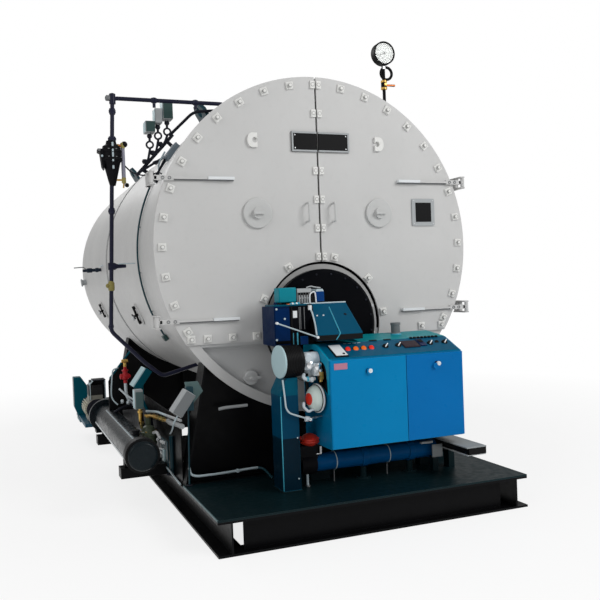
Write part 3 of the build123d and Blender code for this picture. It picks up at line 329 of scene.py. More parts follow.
# pale colour of the painted highlight line on the oil heater
heater_highlight = paint("heater_highlight", srgb(150, 164, 170), 0.3, 0.1, 0.1, gloss=0.3)
light_grey = paint("light_grey", srgb(172, 176, 178), 0.4, 0.05, 0.1)
stub_grey = paint("stub_grey", srgb(112, 116, 118), 0.4, 0.08, 0.1, edge_highlight=srgb(180, 184, 186))
bracket_grey = paint("bracket_grey", srgb(140, 146, 148), 0.4, 0.07, 0.1, edge_highlight=srgb(200, 205, 206))
box_blue = paint("box_blue", srgb(112, 126, 136), 0.38, 0.06, 0.1, edge_highlight=srgb(176, 188, 196))
box_green = paint("box_green", srgb(46, 74, 72), 0.4, 0.1, 0.1, edge_highlight=srgb(110, 134, 132))
olive = paint("olive_grey", srgb(96, 108, 88), 0.42, 0.12, 0.16, edge_highlight=srgb(150, 158, 130))
red_paint = paint("red_paint", srgb(216, 56, 40), 0.34, 0.06, 0.12)
white_paint = paint("white_paint", srgb(232, 236, 238), 0.36, 0.03, 0.08)
disc_pale = paint("disc_pale", srgb(178, 206, 212), 0.4, 0.05, 0.08)
dome_pale = paint("dome_pale", srgb(214, 228, 222), 0.36, 0.04, 0.08)
sight_grey = paint("sight_grey", srgb(150, 150, 166), 0.3, 0.05, 0.06)
ring_grey = paint("ring_grey", srgb(122, 124, 126), 0.36, 0.06, 0.08)
edge_cyan = paint("edge_cyan", srgb(70, 170, 195), 0.3, 0.05, 0.06)
edge_pale = paint("edge_pale", srgb(186, 202, 208), 0.34, 0.05, 0.08)
fin_cream = paint("fin_cream", srgb(196, 194, 176), 0.42, 0.08, 0.1)
pink_paint = paint("pink_paint", srgb(188, 128, 150), 0.45, 0.05, 0.06)
black_iron = cast("black_iron", srgb(16, 16, 19), 0.55, edge_highlight=srgb(66, 68, 74))
dark_iron = cast("dark_iron", srgb(30, 32, 40), 0.5, edge_highlight=srgb(92, 94, 104))
steel = metal("plated_steel", srgb(200, 202, 204), 0.33)
chrome = metal("bright_steel", srgb(226, 228, 230), 0.25)
pale_metal = paint("pale_metal", srgb(212, 222, 228), 0.32, 0.1, 0.14, edge_highlight=srgb(230, 236, 236))
brass = metal("brass", srgb(206, 168, 92), 0.34)
copper = metal("copper", srgb(206, 120, 70), 0.35)
black_plastic = plastic("black_plastic", srgb(8, 8, 10), 0.5)
white_plastic = plastic("white_plastic", srgb(234, 238, 240), 0.4)
dial_white = plastic("dial_white", srgb(240, 240, 236), 0.45)
# the lenses glow faintly; red_lens is also used on the switch cap's spots and the regulator's bolt
# heads, whose glow is painted light
red_lens = plastic("red_lens", srgb(220, 44, 34), 0.3, glow=0.15)
orange_lens = plastic("orange_lens", srgb(228, 104, 30), 0.3, glow=0.15)
burgundy = plastic("burgundy", srgb(38, 16, 30), 0.25)
deep_blue = plastic("deep_blue", srgb(6, 24, 74), 0.3)
soot = cast("soot", srgb(34, 32, 30), 0.9)
glass = clear_glass("clear_glass")
GAP = Vector((0.01, 0.01, 0.01))
# near-black burner barrel with a painted highlight: its upper left is navy where light falls
drum_paint = paint("burner_drum_paint", srgb(4, 5, 9), 0.34, 0.2, 0.1, gloss=0.05, zones=(
    (Vector((-9, -9, DRUM_Z - 0.560)), Vector((-0.300, 9, 9)), srgb(0, 34, 78)),))
# near-black burner casing with a painted highlight: its left end is navy where light falls
casing_paint = paint("casing_paint", srgb(5, 6, 12), 0.34, 0.2, 0.1, gloss=0.05, zones=(
    (Vector((-9, -9, -9)), Vector((-0.352, 9, 9)), srgb(0, 26, 62)),))


# Mesh pieces

# degrees
SMOOTH_ANGLE = 32
BEVEL_ANGLE = 40

class Piece:
    """One object made of simple forms, each with its own material."""

    def __init__(self, name, body=PLANT, slot="grey_paint", bevel=0.0015):
        self.name = name
        self.body = body
        self.slot = slot
        self.bevel = bevel
        self.mesh = bmesh.new()
        self.materials = []

    def place(self, made, matrix, material):
        # moves what was made and gives it its material
        if material not in self.materials:
            self.materials.append(material)
        index = self.materials.index(material)
        made.normal_update()
        made.transform(matrix)
        store = bpy.data.meshes.new("part")
        made.to_mesh(store)
        made.free()
        for face in store.polygons:
            face.material_index = index
        self.mesh.from_mesh(store)
        bpy.data.meshes.remove(store)

    def box(self, low, high, material, turn=None):
        low = Vector(low)
        high = Vector(high)
        made = bmesh.new()
        bmesh.ops.create_cube(made, size=1)
        matrix = Matrix.Diagonal(Vector((abs(high.x - low.x), abs(high.y - low.y),
                    abs(high.z - low.z), 1)))
        middle = Matrix.Translation((low + high) / 2)
        self.place(made, middle @ (turn or Matrix()) @ matrix, material)

    def slab(self, base, frame_axes, spans, material):
        # a block given by spans along three axes from a base point
        axis_x, axis_y, axis_z = frame_axes
        made = bmesh.new()
        bmesh.ops.create_cube(made, size=1)
        lengths = [span[1] - span[0] for span in spans]
        middle = [(span[0] + span[1]) / 2 for span in spans]
        turn = Matrix((axis_x, axis_y, axis_z)).transposed().to_4x4()
        shift = Matrix.Translation(base + axis_x * middle[0] + axis_y * middle[1] + axis_z *
                middle[2])
        self.place(made, shift @ turn @ Matrix.Diagonal(Vector((*lengths, 1))), material)

    def lathe(self, origin, axis, profile, material, sides=28):
        # profile holds pairs of radius and height along the axis
        made = bmesh.new()
        rings = []
        for radius, height in profile:
            if radius <= 0:
                rings.append([made.verts.new((0, 0, height))])
                continue
            ring = []
            for step in range(sides):
                turn = 2 * math.pi * step / sides
                ring.append(made.verts.new((radius * math.cos(turn), radius * math.sin(turn),
                            height)))
            rings.append(ring)
        for below, above in zip(rings, rings[1:]):
            for step in range(sides):
                after = (step + 1) % sides
                corners = [below[step % len(below)], below[after % len(below)],
                        above[after % len(above)], above[step % len(above)]]
                corners = list(dict.fromkeys(corners))
                if len(corners) > 2:
                    made.faces.new(corners)
        bmesh.ops.recalc_face_normals(made, faces=made.faces)
        self.place(made, Matrix.Translation(Vector(origin)) @ aim(axis), material)

    def rod(self, start, end, radius, material, sides=20):
        start = Vector(start)
        end = Vector(end)
        length = (end - start).length
        self.lathe(start, end - start, ((0, 0), (radius, 0), (radius, length), (0, length)), material,
                sides)

    def hexagon(self, origin, axis, radius, height, material):
        self.lathe(origin, axis, ((0, 0), (radius, 0), (radius, height), (0, height)), material, 6)

    def tube(self, points, radius, material, bend=0.03, sides=10):
        # a round bar along runs whose corners are rounded
        path = rounded([Vector(point) for point in points], bend)
        made = bmesh.new()
        rings = []
        side = None
        for index, point in enumerate(path):
            ahead = path[min(index + 1, len(path) - 1)] - path[max(index - 1, 0)]
            ahead.normalize()
            side = side or ahead.orthogonal()
            side = (side - ahead * side.dot(ahead)).normalized()
            other = ahead.cross(side)
            ring = []
            for step in range(sides):
                turn = 2 * math.pi * step / sides
                ring.append(made.verts.new(point + (side * math.cos(turn) + other * math.sin(turn)) *
                            radius))
            rings.append(ring)
        for below, above in zip(rings, rings[1:]):
            for step in range(sides):
                after = (step + 1) % sides
                made.faces.new((below[step], below[after], above[after], above[step]))
        made.faces.new(rings[0][::-1])
        made.faces.new(rings[-1])
        bmesh.ops.recalc_face_normals(made, faces=made.faces)
        self.place(made, Matrix(), material)

    def prism(self, outline, base, axis_x, axis_y, depth, material):
        # an outline in two axes, pushed along their cross product
        axis_z = axis_x.cross(axis_y)
        made = bmesh.new()
        near = [made.verts.new(base + axis_x * x + axis_y * y) for x, y in outline]
        far = [made.verts.new(base + axis_x * x + axis_y * y + axis_z * depth) for x, y in outline]
        made.faces.new(near[::-1])
        made.faces.new(far)
        for step in range(len(outline)):
            after = (step + 1) % len(outline)
            made.faces.new((near[step], near[after], far[after], far[step]))
        bmesh.ops.recalc_face_normals(made, faces=made.faces)
        self.place(made, Matrix(), material)

    def hull(self, points, material):
        # the convex solid round some points
        made = bmesh.new()
        for point in points:
            made.verts.new(Vector(point))
        bmesh.ops.convex_hull(made, input=made.verts)
        bmesh.ops.recalc_face_normals(made, faces=made.faces)
        self.place(made, Matrix(), material)

    def done(self):
        data = bpy.data.meshes.new(self.name)
        self.mesh.to_mesh(data)
        self.mesh.free()
        for material in self.materials:
            data.materials.append(material)
        for face in data.polygons:
            face.use_smooth = True
        data.set_sharp_from_angle(angle=math.radians(SMOOTH_ANGLE))
        piece = bpy.data.objects.new(self.name, data)
        bpy.context.scene.collection.objects.link(piece)
        if self.bevel:
            edge = piece.modifiers.new("edges", "BEVEL")
            edge.width = self.bevel
            edge.segments = 2
            edge.limit_method = "ANGLE"
            edge.angle_limit = math.radians(BEVEL_ANGLE)
            edge.use_clamp_overlap = True
        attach(piece, self.body)
        return piece


def aim(axis):
    # turns local Z to the axis
    return Vector(axis).to_track_quat("Z", "Y").to_matrix().to_4x4()


def rounded(points, bend):
    # a path with its corners turned into arcs
    path = [points[0]]
    for before, corner, after in zip(points, points[1:], points[2:]):
        reach = min(bend, (before - corner).length * 0.48, (after - corner).length * 0.48)
        start = corner + (before - corner).normalized() * reach
        end = corner + (after - corner).normalized() * reach
        for step in range(6):
            share = step / 5
            path.append(start.lerp(corner, share).lerp(corner.lerp(end, share), share))
    path.append(points[-1])
    return path


def at(x, y, z):
    # a place in millimetres from the drum axis and the door plane
    return Vector((x * MM, y * MM, DRUM_Z + z * MM))


def around(angle, y, radius):
    # a place on the left side of the drum and the way out of it, the angle from the top
    turn = math.radians(angle)
    out = Vector((-math.sin(turn), 0, math.cos(turn)))
    return Vector((0, y, DRUM_Z)) + out * radius, out


def hex_band(piece, origin, axis, radius, length, material):
    # a pipe union with its nut
    origin = Vector(origin)
    axis = Vector(axis).normalized()
    piece.lathe(origin - axis * length / 2, axis, ((radius * 0.7, 0), (radius * 0.86, 0.004),
                (radius * 0.86, length - 0.004), (radius * 0.7, length)), material, 20)
    piece.lathe(origin - axis * length * 0.22, axis, ((0, 0), (radius, 0), (radius, length * 0.44),
                (0, length * 0.44)), material, 6)


def islands(node):
    # centre and box of each separate solid of a node
    mesh = bmesh.new()
    mesh.from_mesh(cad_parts[node].data)
    bmesh.ops.remove_doubles(mesh, verts=mesh.verts, dist=0.00002)
    seen = set()
    found = []
    for start in mesh.verts:
        if start.index in seen:
            continue
        seen.add(start.index)
        queue = [start]
        points = []
        while queue:
            vert = queue.pop()
            points.append(vert.co.copy())
            for edge in vert.link_edges:
                other = edge.other_vert(vert)
                if other.index not in seen:
                    seen.add(other.index)
                    queue.append(other)
        low = Vector([min(point[axis] for point in points) for axis in range(3)])
        high = Vector([max(point[axis] for point in points) for axis in range(3)])
        found.append((low, high))
    mesh.free()
    return found


def dress(materials):
    # gives CAD nodes their material
    for node, material in materials.items():
        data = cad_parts[node].data
        data.materials.clear()
        data.materials.append(material)


def dress_nodes():
    # materials of the CAD nodes that show as they are
    lug_low = at(-470, -40, 590)
    lug_high = at(470, 10, 700)
    fitting = paint("fitting_grey", srgb(200, 201, 200), 0.38, 0.04, 0.1,
            zones=((lug_low, lug_high, CLIP),))
    far = 9
    set_low, set_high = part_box("pump_set")
    set_paint = paint("pump_set_paint", srgb(150, 148, 138), 0.42, 0.12, 0.14, gloss=0.3,
            zones=((set_low - GAP, Vector((set_high.x + 0.01, set_high.y + 0.01, set_low.z + 0.034)),
                srgb(6, 76, 100)), (Vector((set_low.x - 0.01, 2.0, set_high.z - 0.09)),
                Vector((set_high.x + 0.01, 4.0, set_high.z + 0.01)), srgb(24, 24, 26))))
    side_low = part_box("cabinet_body")[0]
    # painted light: the upper part of the cabinet's left side is painted lighter, and its top a lighter
    # teal, where light falls
    side_paint = paint("cabinet_side_paint", srgb(0, 112, 158), 0.34, 0.05, 0.08,
            edge_highlight=srgb(40, 170, 205), gloss=0.1, zones=((Vector((side_low.x - 0.01, -far,
                DRUM_Z - 0.86)), Vector((side_low.x + 0.02, far, 3)), srgb(0, 150, 188)),
                (Vector((side_low.x - 0.01, -far, DRUM_Z - 0.592)), Vector((far, far, 3)),
                srgb(0, 140, 152))))
    dress({
        "skid_right_beam": black_paint, "skid_left_beam": black_paint,
        "skid_front_beam": black_paint, "skid_cross_beams": black_paint, "deck_plate": deck_paint,
        "saddles": black_paint, "boiler_shell": shell_paint, "rear_head": shell_paint,
        "tube_sheet": soot, "smokebox": shell_paint, "lower_front_plate": plate_paint,
        "burner_sleeve": black_iron, "left_door": grey_paint, "right_door": grey_paint,
        "left_door_clips": clip_paint, "right_door_clips": clip_paint,
        "left_door_fittings": fitting, "right_door_fittings": fitting,
        "nameplate_left_half": black_plastic, "nameplate_right_half": black_plastic,
        "data_plate": light_grey, "fuel_pump": pale_metal, "cabinet_body": side_paint,
        "cabinet_left_door": door_blue, "cabinet_right_door": cabinet_blue,
        "control_panel": panel_teal, "gas_pipe": pipe_blue, "gas_valve": black_iron,
        "pipe_supports": deck_paint, "cabinet_legs": deck_paint, "lifting_lugs": dark_teal,
        "top_outlets": dark_iron, "pressure_gauge": black_plastic, "gauge_stem": black_iron,
        "oil_heater": heater_paint, "pump_set": set_paint,
    })


# Doors

def nameplate_frames():
    # pale bevelled frame round the bare plate, one half on each door
    edge = 0.011
    for node, body, outer in (("nameplate_left_half", LEFT_LEAF, -1),
            ("nameplate_right_half", RIGHT_LEAF, 1)):
        low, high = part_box(node)
        piece = Piece("nameplate_frame_" + body.split("_")[0], body, "clip_paint")
        front = low.y - 0.004
        back = high.y - 0.0005
        end_x = low.x if outer < 0 else high.x
        piece.box((low.x, front, high.z - edge), (high.x, back, high.z), light_grey)
        piece.box((low.x, front, low.z), (high.x, back, low.z + edge), light_grey)
        piece.box((end_x, front, low.z + edge), (end_x - outer * edge, back, high.z - edge),
                light_grey)
        screw_x = end_x - outer * edge * 2
        for z in (low.z + edge * 2, high.z - edge * 2):
            piece.lathe((screw_x, low.y, z), -Y, ((0.005, -0.001), (0.005, 0.002), (0, 0.003)), steel,
                    14)
        piece.done()


def data_plate_face():
    # dark bare face of the small plate on the right door
    low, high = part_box("data_plate")
    rim = 0.026
    piece = Piece("data_plate_panel", RIGHT_LEAF, "black_plastic")
    piece.box((low.x + rim, low.y - 0.003, low.z + rim), (high.x - rim, low.y + 0.002, high.z - rim),
            black_plastic)
    for x in (low.x + rim / 2, high.x - rim / 2):
        for z in (low.z + rim / 2, high.z - rim / 2):
            piece.lathe((x, low.y, z), -Y, ((0.005, -0.001), (0.005, 0.002), (0, 0.003)), steel, 14)
    piece.done()


def door_details():
    # slim hinge straps with a bright inner bar, a dark strip painted as the shadow under each strap,
    # and their small eyes at the rim
    for side, body in ((-1, LEFT_LEAF), (1, RIGHT_LEAF)):
        label = body.split("_")[0]
        piece = Piece("door_straps_" + label, body, "clip_paint", 0.0006)
        low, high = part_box(label + "_door_hinges")
        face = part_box(label + "_door")[0].y
        inner = side * 0.555
        pin = side * 1.05
        for z in (high.z - 0.018, low.z + 0.018):
            piece.box((inner, face - 0.03, z - 0.007), (side * 0.715, face + 0.0002, z + 0.01),
                    white_paint)
            piece.box((side * 0.705, face - 0.02, z - 0.006), (side * 0.93, face + 0.0002, z + 0.006),
                    grey_paint)
            # dark strip along the strap's lower edge, a painted shadow
            piece.box((inner, face - 0.012, z - 0.013), (side * 0.93, face + 0.0002, z - 0.007),
                    ring_grey)
            piece.box((side * 0.92, face - 0.018, z - 0.014), (side * 1.035, face + 0.0002,
                        z + 0.014), grey_paint)
            for reach in (0.945, 0.985):
                piece.lathe((side * reach, face - 0.018, z), -Y,
                        ((0.01, 0), (0.01, 0.003), (0.006, 0.003), (0.006, 0)), ring_grey, 14)
            piece.lathe((pin, face - 0.01, z), Z, ((0, -0.03), (0.013, -0.03), (0.013, 0.03),
                        (0, 0.03)), grey_paint, 20)
            piece.box((side * 1.02, face - 0.018, z - 0.01), (pin, face - 0.002, z + 0.01),
                    grey_paint)
        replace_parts(piece.done(), label + "_door_hinges")
    ears = Piece("hinge_ears", PLANT, "grey_paint", 0.001)
    for side in (-1, 1):
        for z in (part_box("left_door_hinges")[1].z - 0.018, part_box("left_door_hinges")[0].z + 0.018):
            for shift in (-0.04, 0.031):
                ears.box((side * 1.03, -0.022, z + shift), (side * 1.062, 0.119, z + shift + 0.009),
                        shell_paint)
            ears.box((side * 1.036, 0.052, z - 0.04), (side * 1.06, 0.119, z + 0.04), shell_paint)
    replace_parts(ears.done(), "hinge_brackets")


def clip_rings():
    # washer ring and bolt end on each clamp clip
    for side, body in (("left", LEFT_LEAF), ("right", RIGHT_LEAF)):
        piece = Piece("clip_bolts_" + side, body, "plated_steel", 0)
        for low, high in islands(side + "_door_clips"):
            if max(high.x - low.x, high.z - low.z) > 0.12:
                continue
            middle = (low + high) / 2
            place = Vector((middle.x, low.y, middle.z))
            piece.lathe(place, -Y, ((0.0125, -0.01), (0.0125, 0.001), (0.0095, 0.001),
                        (0.0095, -0.01)), clip_ring, 18)
            piece.lathe(place, -Y, ((0.0095, -0.01), (0.0095, 0.0015), (0, 0.002)), clip_paint, 14)
        piece.done()


def door_linings():
    # refractory facing of the doors' inner side, with washers
    for side, body in ((-1, LEFT_LEAF), (1, RIGHT_LEAF)):
        label = body.split("_")[0]
        piece = Piece("door_lining_" + label, body, "lining")
        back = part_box(label + "_door")[1].y
        for z, x in ((0.72, 0.3), (0.72, 0.55), (0.36, 0.25), (0.36, 0.55), (0.36, 0.8), (0, 0.45),
                (0, 0.8), (-0.36, 0.52), (-0.36, 0.75)):
            piece.lathe((side * x, back - 0.002, DRUM_Z + z), Y,
                    ((0, 0), (0.032, 0), (0.032, 0.005), (0.012, 0.006), (0.012, 0.012), (0, 0.012)),
                    steel)
        piece.done()


def tube_ends():
    # rows of tube ends in the front tube sheet, seen when a door is open
    piece = Piece("tube_ends", PLANT, "black_iron", 0)
    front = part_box("tube_sheet")[0].y
    pitch = 0.098
    outer = 0.038
    for row in range(9):
        z = 0.86 - row * pitch * 0.87
        count = 12
        for index in range(-count, count + 1):
            x = (index + (row % 2) / 2) * pitch
            reach = math.hypot(x, z)
            if reach > 0.93 or math.hypot(x, z + 0.494) < 0.46 or abs(x) < 0.04:
                continue
            piece.lathe((x, front + 0.001, DRUM_Z + z), -Y, ((outer * 0.8, -0.03),
                        (outer * 0.8, 0.006), (outer, 0.006), (outer, 0)), dark_iron, 12)
    piece.done()


def sleeve_band():
    # pale ring round the burner opening, between the doors and the dark recess
    inner = 0.318
    piece = Piece("burner_recess", PLANT, "light_grey_paint", 0.0008)
    low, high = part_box("burner_sleeve")
    radius = (high.x - low.x) / 2
    piece.lathe((0, low.y - 0.001, BURNER_Z), Y, ((inner, 0), (radius - 0.001, 0),
                (radius - 0.001, 0.006), (inner, 0.006), (inner, 0)), band_grey, 96)
    piece.done()


# Burner

def drum_piece():
    # burner barrel with its wide front flange
    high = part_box("burner_drum")[1]
    piece = Piece("burner_barrel", PLANT, "black_paint", 0.003)
    centre_x = -0.039
    radius = 0.343
    piece.lathe((centre_x, -0.118, BURNER_Z), Y, ((0, 0), (radius - 0.018, 0), (radius, 0.012),
                (radius, 0.06), (radius - 0.02, 0.064), (0.3, 0.066), (0, 0.066)), drum_paint, 128)
    piece.lathe((0, -0.06, BURNER_Z), Y, ((0, 0), (0.3, 0), (0.3, high.y + 0.06), (0, high.y + 0.06)),
            black_iron, 96)
    for step in range(20):
        turn = 2 * math.pi * (step + 0.5) / 20
        place = Vector((centre_x + (radius - 0.03) * math.cos(turn), -0.118,
                    BURNER_Z + (radius - 0.03) * math.sin(turn)))
        piece.hexagon(place, -Y, 0.008, 0.006, dark_iron)
    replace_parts(piece.done(), "burner_drum")
    shell = Piece("burner_casing", PLANT, "black_paint", 0.004)
    z_top = DRUM_Z - 0.364
    z_low = DRUM_Z - 0.59
    shell.box((-0.446, -0.33, z_low), (-0.205, -0.117, z_top), casing_paint)
    shell.box((-0.44, -0.333, z_low + 0.012), (-0.352, -0.329, z_top - 0.012), drum_paint)
    shell.box((-0.345, -0.336, z_low + 0.004), (-0.336, -0.329, z_top - 0.004), black_plastic)
    shell.box((-0.43, -0.3, z_top - 0.001), (-0.23, -0.13, z_top + 0.008), blower_blue)
    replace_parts(shell.done(), "burner_housing")


def slope_at(x, share):
    # a place on the sloped face of the air hood
    return Vector((x, -0.25 - 0.22 * share, DRUM_Z - 0.358 - 0.169 * share))


def hood_piece():
    # folded sheet hood, wider at its lower edge, with painted highlight lines along its top edge and
    # fold, and dark sheets painted as shade on its left end and lower lip
    back_y = -0.122
    piece = Piece("air_hood_sheet", PLANT, "hood_teal", 0.0025)
    top_left = slope_at(-0.182, 0)
    top_right = slope_at(0.04, 0)
    low_left = slope_at(-0.244, 1)
    low_right = slope_at(0.04, 1)
    lip = Z * 0.038
    back = 0.128
    corners = [top_left, top_right, low_left, low_right, low_left - lip, low_right - lip,
            top_left + Y * back, top_right + Y * back, Vector((-0.182, back_y, low_left.z - 0.038)),
            Vector((0.04, back_y, low_left.z - 0.038))]
    piece.hull(corners, hood_teal)
    # a dark sheet on the hood's left end, painted as shade
    side = -X * 0.003
    piece.hull([top_left + side, low_left + side, low_left - lip + side, top_left + Y * back + side,
                Vector((-0.185, back_y, low_left.z - 0.038)), top_left, low_left, low_left - lip],
            black_plastic)
    # a pale rod along the top edge, a painted highlight
    piece.rod(top_left - X * 0.05 + Z * 0.002, top_right + Z * 0.002, 0.0045, edge_pale, 10)
    # cyan rods down the fold and the lip, painted highlight lines
    bend = Vector((-0.101, -0.47, low_left.z))
    piece.rod(slope_at(-0.083, 0.14) + Z * 0.001, bend + Vector((0, -0.001, 0.001)), 0.0036,
            edge_cyan, 8)
    piece.rod(bend - Y * 0.001, Vector((-0.128, -0.471, low_left.z - 0.036)), 0.0034, edge_cyan, 8)
    out = (top_right - top_left).cross(low_left - top_left).normalized()
    if out.z < 0:
        out = -out
    for x in (-0.186, -0.146):
        piece.lathe(slope_at(x, 0.41), out, ((0.0055, -0.001), (0.0055, 0.003), (0.003, 0.006),
                    (0, 0.007)), white_paint, 14)
    for x, share, wide in ((-0.006, 0.4, 0.01), (-0.102, 0.86, 0.006)):
        piece.lathe(slope_at(x, share), out, ((wide, -0.002), (wide, 0.001), (0, 0.0012)),
                black_plastic, 18)
    # a dark strip on the lower lip, painted as shade under the hood's edge
    piece.box((-0.243, -0.4725, low_left.z - 0.037), (0.039, -0.469, low_left.z - 0.006),
            black_plastic)
    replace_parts(piece.done(), "air_hood")


def burner_rods():
    # linkage rod and lever, with the bolts and bars on the burner casing
    piece = Piece("burner_linkage", PLANT, "plated_steel", 0.0004)
    start = at(-436, -348, -457)
    end = at(-244, -478, -541)
    piece.rod(start, end, 0.0042, edge_pale, 12)
    for place in (start, end):
        piece.lathe(place - Y * 0.008, Y, ((0, 0), (0.0075, 0), (0.0075, 0.016), (0, 0.016)),
                white_paint, 16)
    face = -0.33
    piece.rod(start, Vector((start.x, face + 0.002, start.z)), 0.006, chrome, 12)
    piece.tube((at(-226, -342, -388), at(-222, -354, -404), at(-226, -404, -470),
                at(-248, -474, -528)), 0.0048, edge_pale, 0.05)
    piece.lathe(at(-228, -338, -376), Z, ((0, -0.014), (0.011, -0.014), (0.011, 0.012), (0, 0.012)),
            white_paint, 18)
    piece.rod(at(-228, -338, -376), at(-228, -320, -376), 0.006, steel, 10)
    label = Vector((-0.319, face, DRUM_Z - 0.412))
    piece.box(label + Vector((-0.013, -0.003, -0.02)), label + Vector((0.013, 0.001, 0.02)),
            white_paint)
    for x, z in ((-0.432, -0.378), (-0.384, -0.435), (-0.436, -0.553)):
        piece.lathe((x, face - 0.002, DRUM_Z + z), -Y, ((0.006, 0), (0.006, 0.006), (0, 0.008)),
                edge_pale, 14)
    for x in (-0.293, -0.285, -0.262):
        piece.rod((x, face - 0.002, DRUM_Z - 0.372), (x, face - 0.002, DRUM_Z - 0.5), 0.0022,
                ring_grey, 8)
    for x, wide in ((-0.336, 0.004), (-0.312, 0.008)):
        piece.box((x, face - 0.004, DRUM_Z - 0.588), (x + wide, face + 0.002, DRUM_Z - 0.518),
                edge_cyan)
    piece.box((-0.29, face - 0.006, DRUM_Z - 0.588), (-0.245, face + 0.004, DRUM_Z - 0.54), box_navy)
    piece.done()


def top_boxes():
    # controller box, terminal group and ignition box on the burner
    elbow_x = -0.262
    base = DRUM_Z - 0.356
    front = -0.25
    back = -0.16
    piece = Piece("burner_controls", PLANT, "hood_teal", 0.006)
    piece.box((-0.382, front, base + 0.012), (-0.274, back, base + 0.098), box_teal)
    piece.done()
    group = Piece("burner_terminals", PLANT, "light_grey_paint", 0.001)
    group.box((-0.362, front + 0.02, base), (-0.292, back, base + 0.014), black_plastic)
    group.box((-0.27, front + 0.006, base), (-0.188, back, base + 0.08), ring_grey)
    group.box((-0.268, front, base + 0.066), (-0.18, back, base + 0.09), light_grey)
    for index in range(4):
        x = -0.256 + index * 0.017
        group.box((x - 0.004, front - 0.003, base + 0.052), (x + 0.005, front + 0.007, base + 0.066),
                black_plastic)
        group.rod((x, front + 0.002, base + 0.052), (x, front + 0.002, base + 0.004), 0.0035,
                light_grey, 8)
        group.lathe((x + 0.006, front + 0.001, base + 0.034), -Y,
                ((0.004, 0), (0.004, 0.003), (0, 0.004)), steel, 10)
    group.tube(((-0.192, front - 0.004, base), (-0.192, front - 0.004, base + 0.06),
                (-0.158, front - 0.004, base + 0.072), (-0.152, front - 0.004, base)), 0.0045,
            white_paint, 0.02)
    group.box((-0.188, front + 0.002, base), (-0.156, back, base + 0.062), black_plastic)
    group.tube(((-0.21, front, base + 0.094), (-0.185, front - 0.004, base + 0.102),
                (-0.15, front, base + 0.094), (-0.12, front, base + 0.09)), 0.004, light_grey, 0.02)
    group.box((-0.151, front, base + 0.01), (-0.098, back, base + 0.07), box_navy)
    group.prism([(-0.151, 0.068), (-0.098, 0.068), (-0.106, 0.084), (-0.143, 0.084)],
            Vector((0, back, base)), X, Z, back - front, edge_pale)
    brass_z = base - 0.002
    fore = front - 0.008
    group.rod((-0.372, fore, brass_z - 0.02), (-0.34, fore - 0.004, brass_z - 0.004), 0.005,
            white_paint, 10)
    group.hexagon((-0.344, fore - 0.004, brass_z - 0.002), X, 0.01, 0.024, copper)
    group.rod((-0.322, fore - 0.004, brass_z), (elbow_x, fore - 0.004, brass_z + 0.004), 0.01,
            edge_cyan, 12)
    group.hexagon((-0.312, fore - 0.004, brass_z + 0.001), X, 0.014, 0.011, white_paint)
    group.hexagon((-0.286, fore - 0.004, brass_z + 0.003), X, 0.012, 0.009, chrome)
    group.rod((elbow_x, fore, brass_z), (elbow_x, -0.2, brass_z), 0.006, dark_iron, 10)
    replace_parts(group.done(), "burner_top_boxes")


def filter_piece():
    # ribbed filter canister with a pale end disc
    low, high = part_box("air_filter")
    mid_y = (low.y + high.y) / 2
    mid_z = (low.z + high.z) / 2 + 0.002
    radius = (high.z - low.z) / 2 + 0.004
    start = Vector((-0.46, mid_y - 0.01, mid_z))
    turn = math.radians(6)
    axis = Vector((math.cos(turn), math.sin(turn), 0))
    piece = Piece("filter_canister", PLANT, "black_plastic", 0.001)
    length = high.x + 0.455
    profile = [(0, 0), (radius - 0.003, 0)]
    steps = 9
    pitch = (length - 0.035) / steps
    for index in range(steps):
        x = 0.02 + pitch * index
        profile += [(radius - 0.002, x), (radius, x + pitch * 0.25), (radius, x + pitch * 0.6),
                (radius - 0.002, x + pitch * 0.85)]
    profile += [(radius - 0.003, length), (0.03, length), (0, length)]
    piece.lathe(start, axis, profile, black_plastic, 48)
    piece.lathe(start + axis * 0.006, -axis, ((radius - 0.002, -0.006), (radius + 0.0015, -0.004),
                (radius + 0.0015, 0.004), (radius - 0.002, 0.0065), (radius * 0.5, 0.0085),
                (0, 0.009)), disc_pale, 56)
    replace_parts(piece.done(), "air_filter")


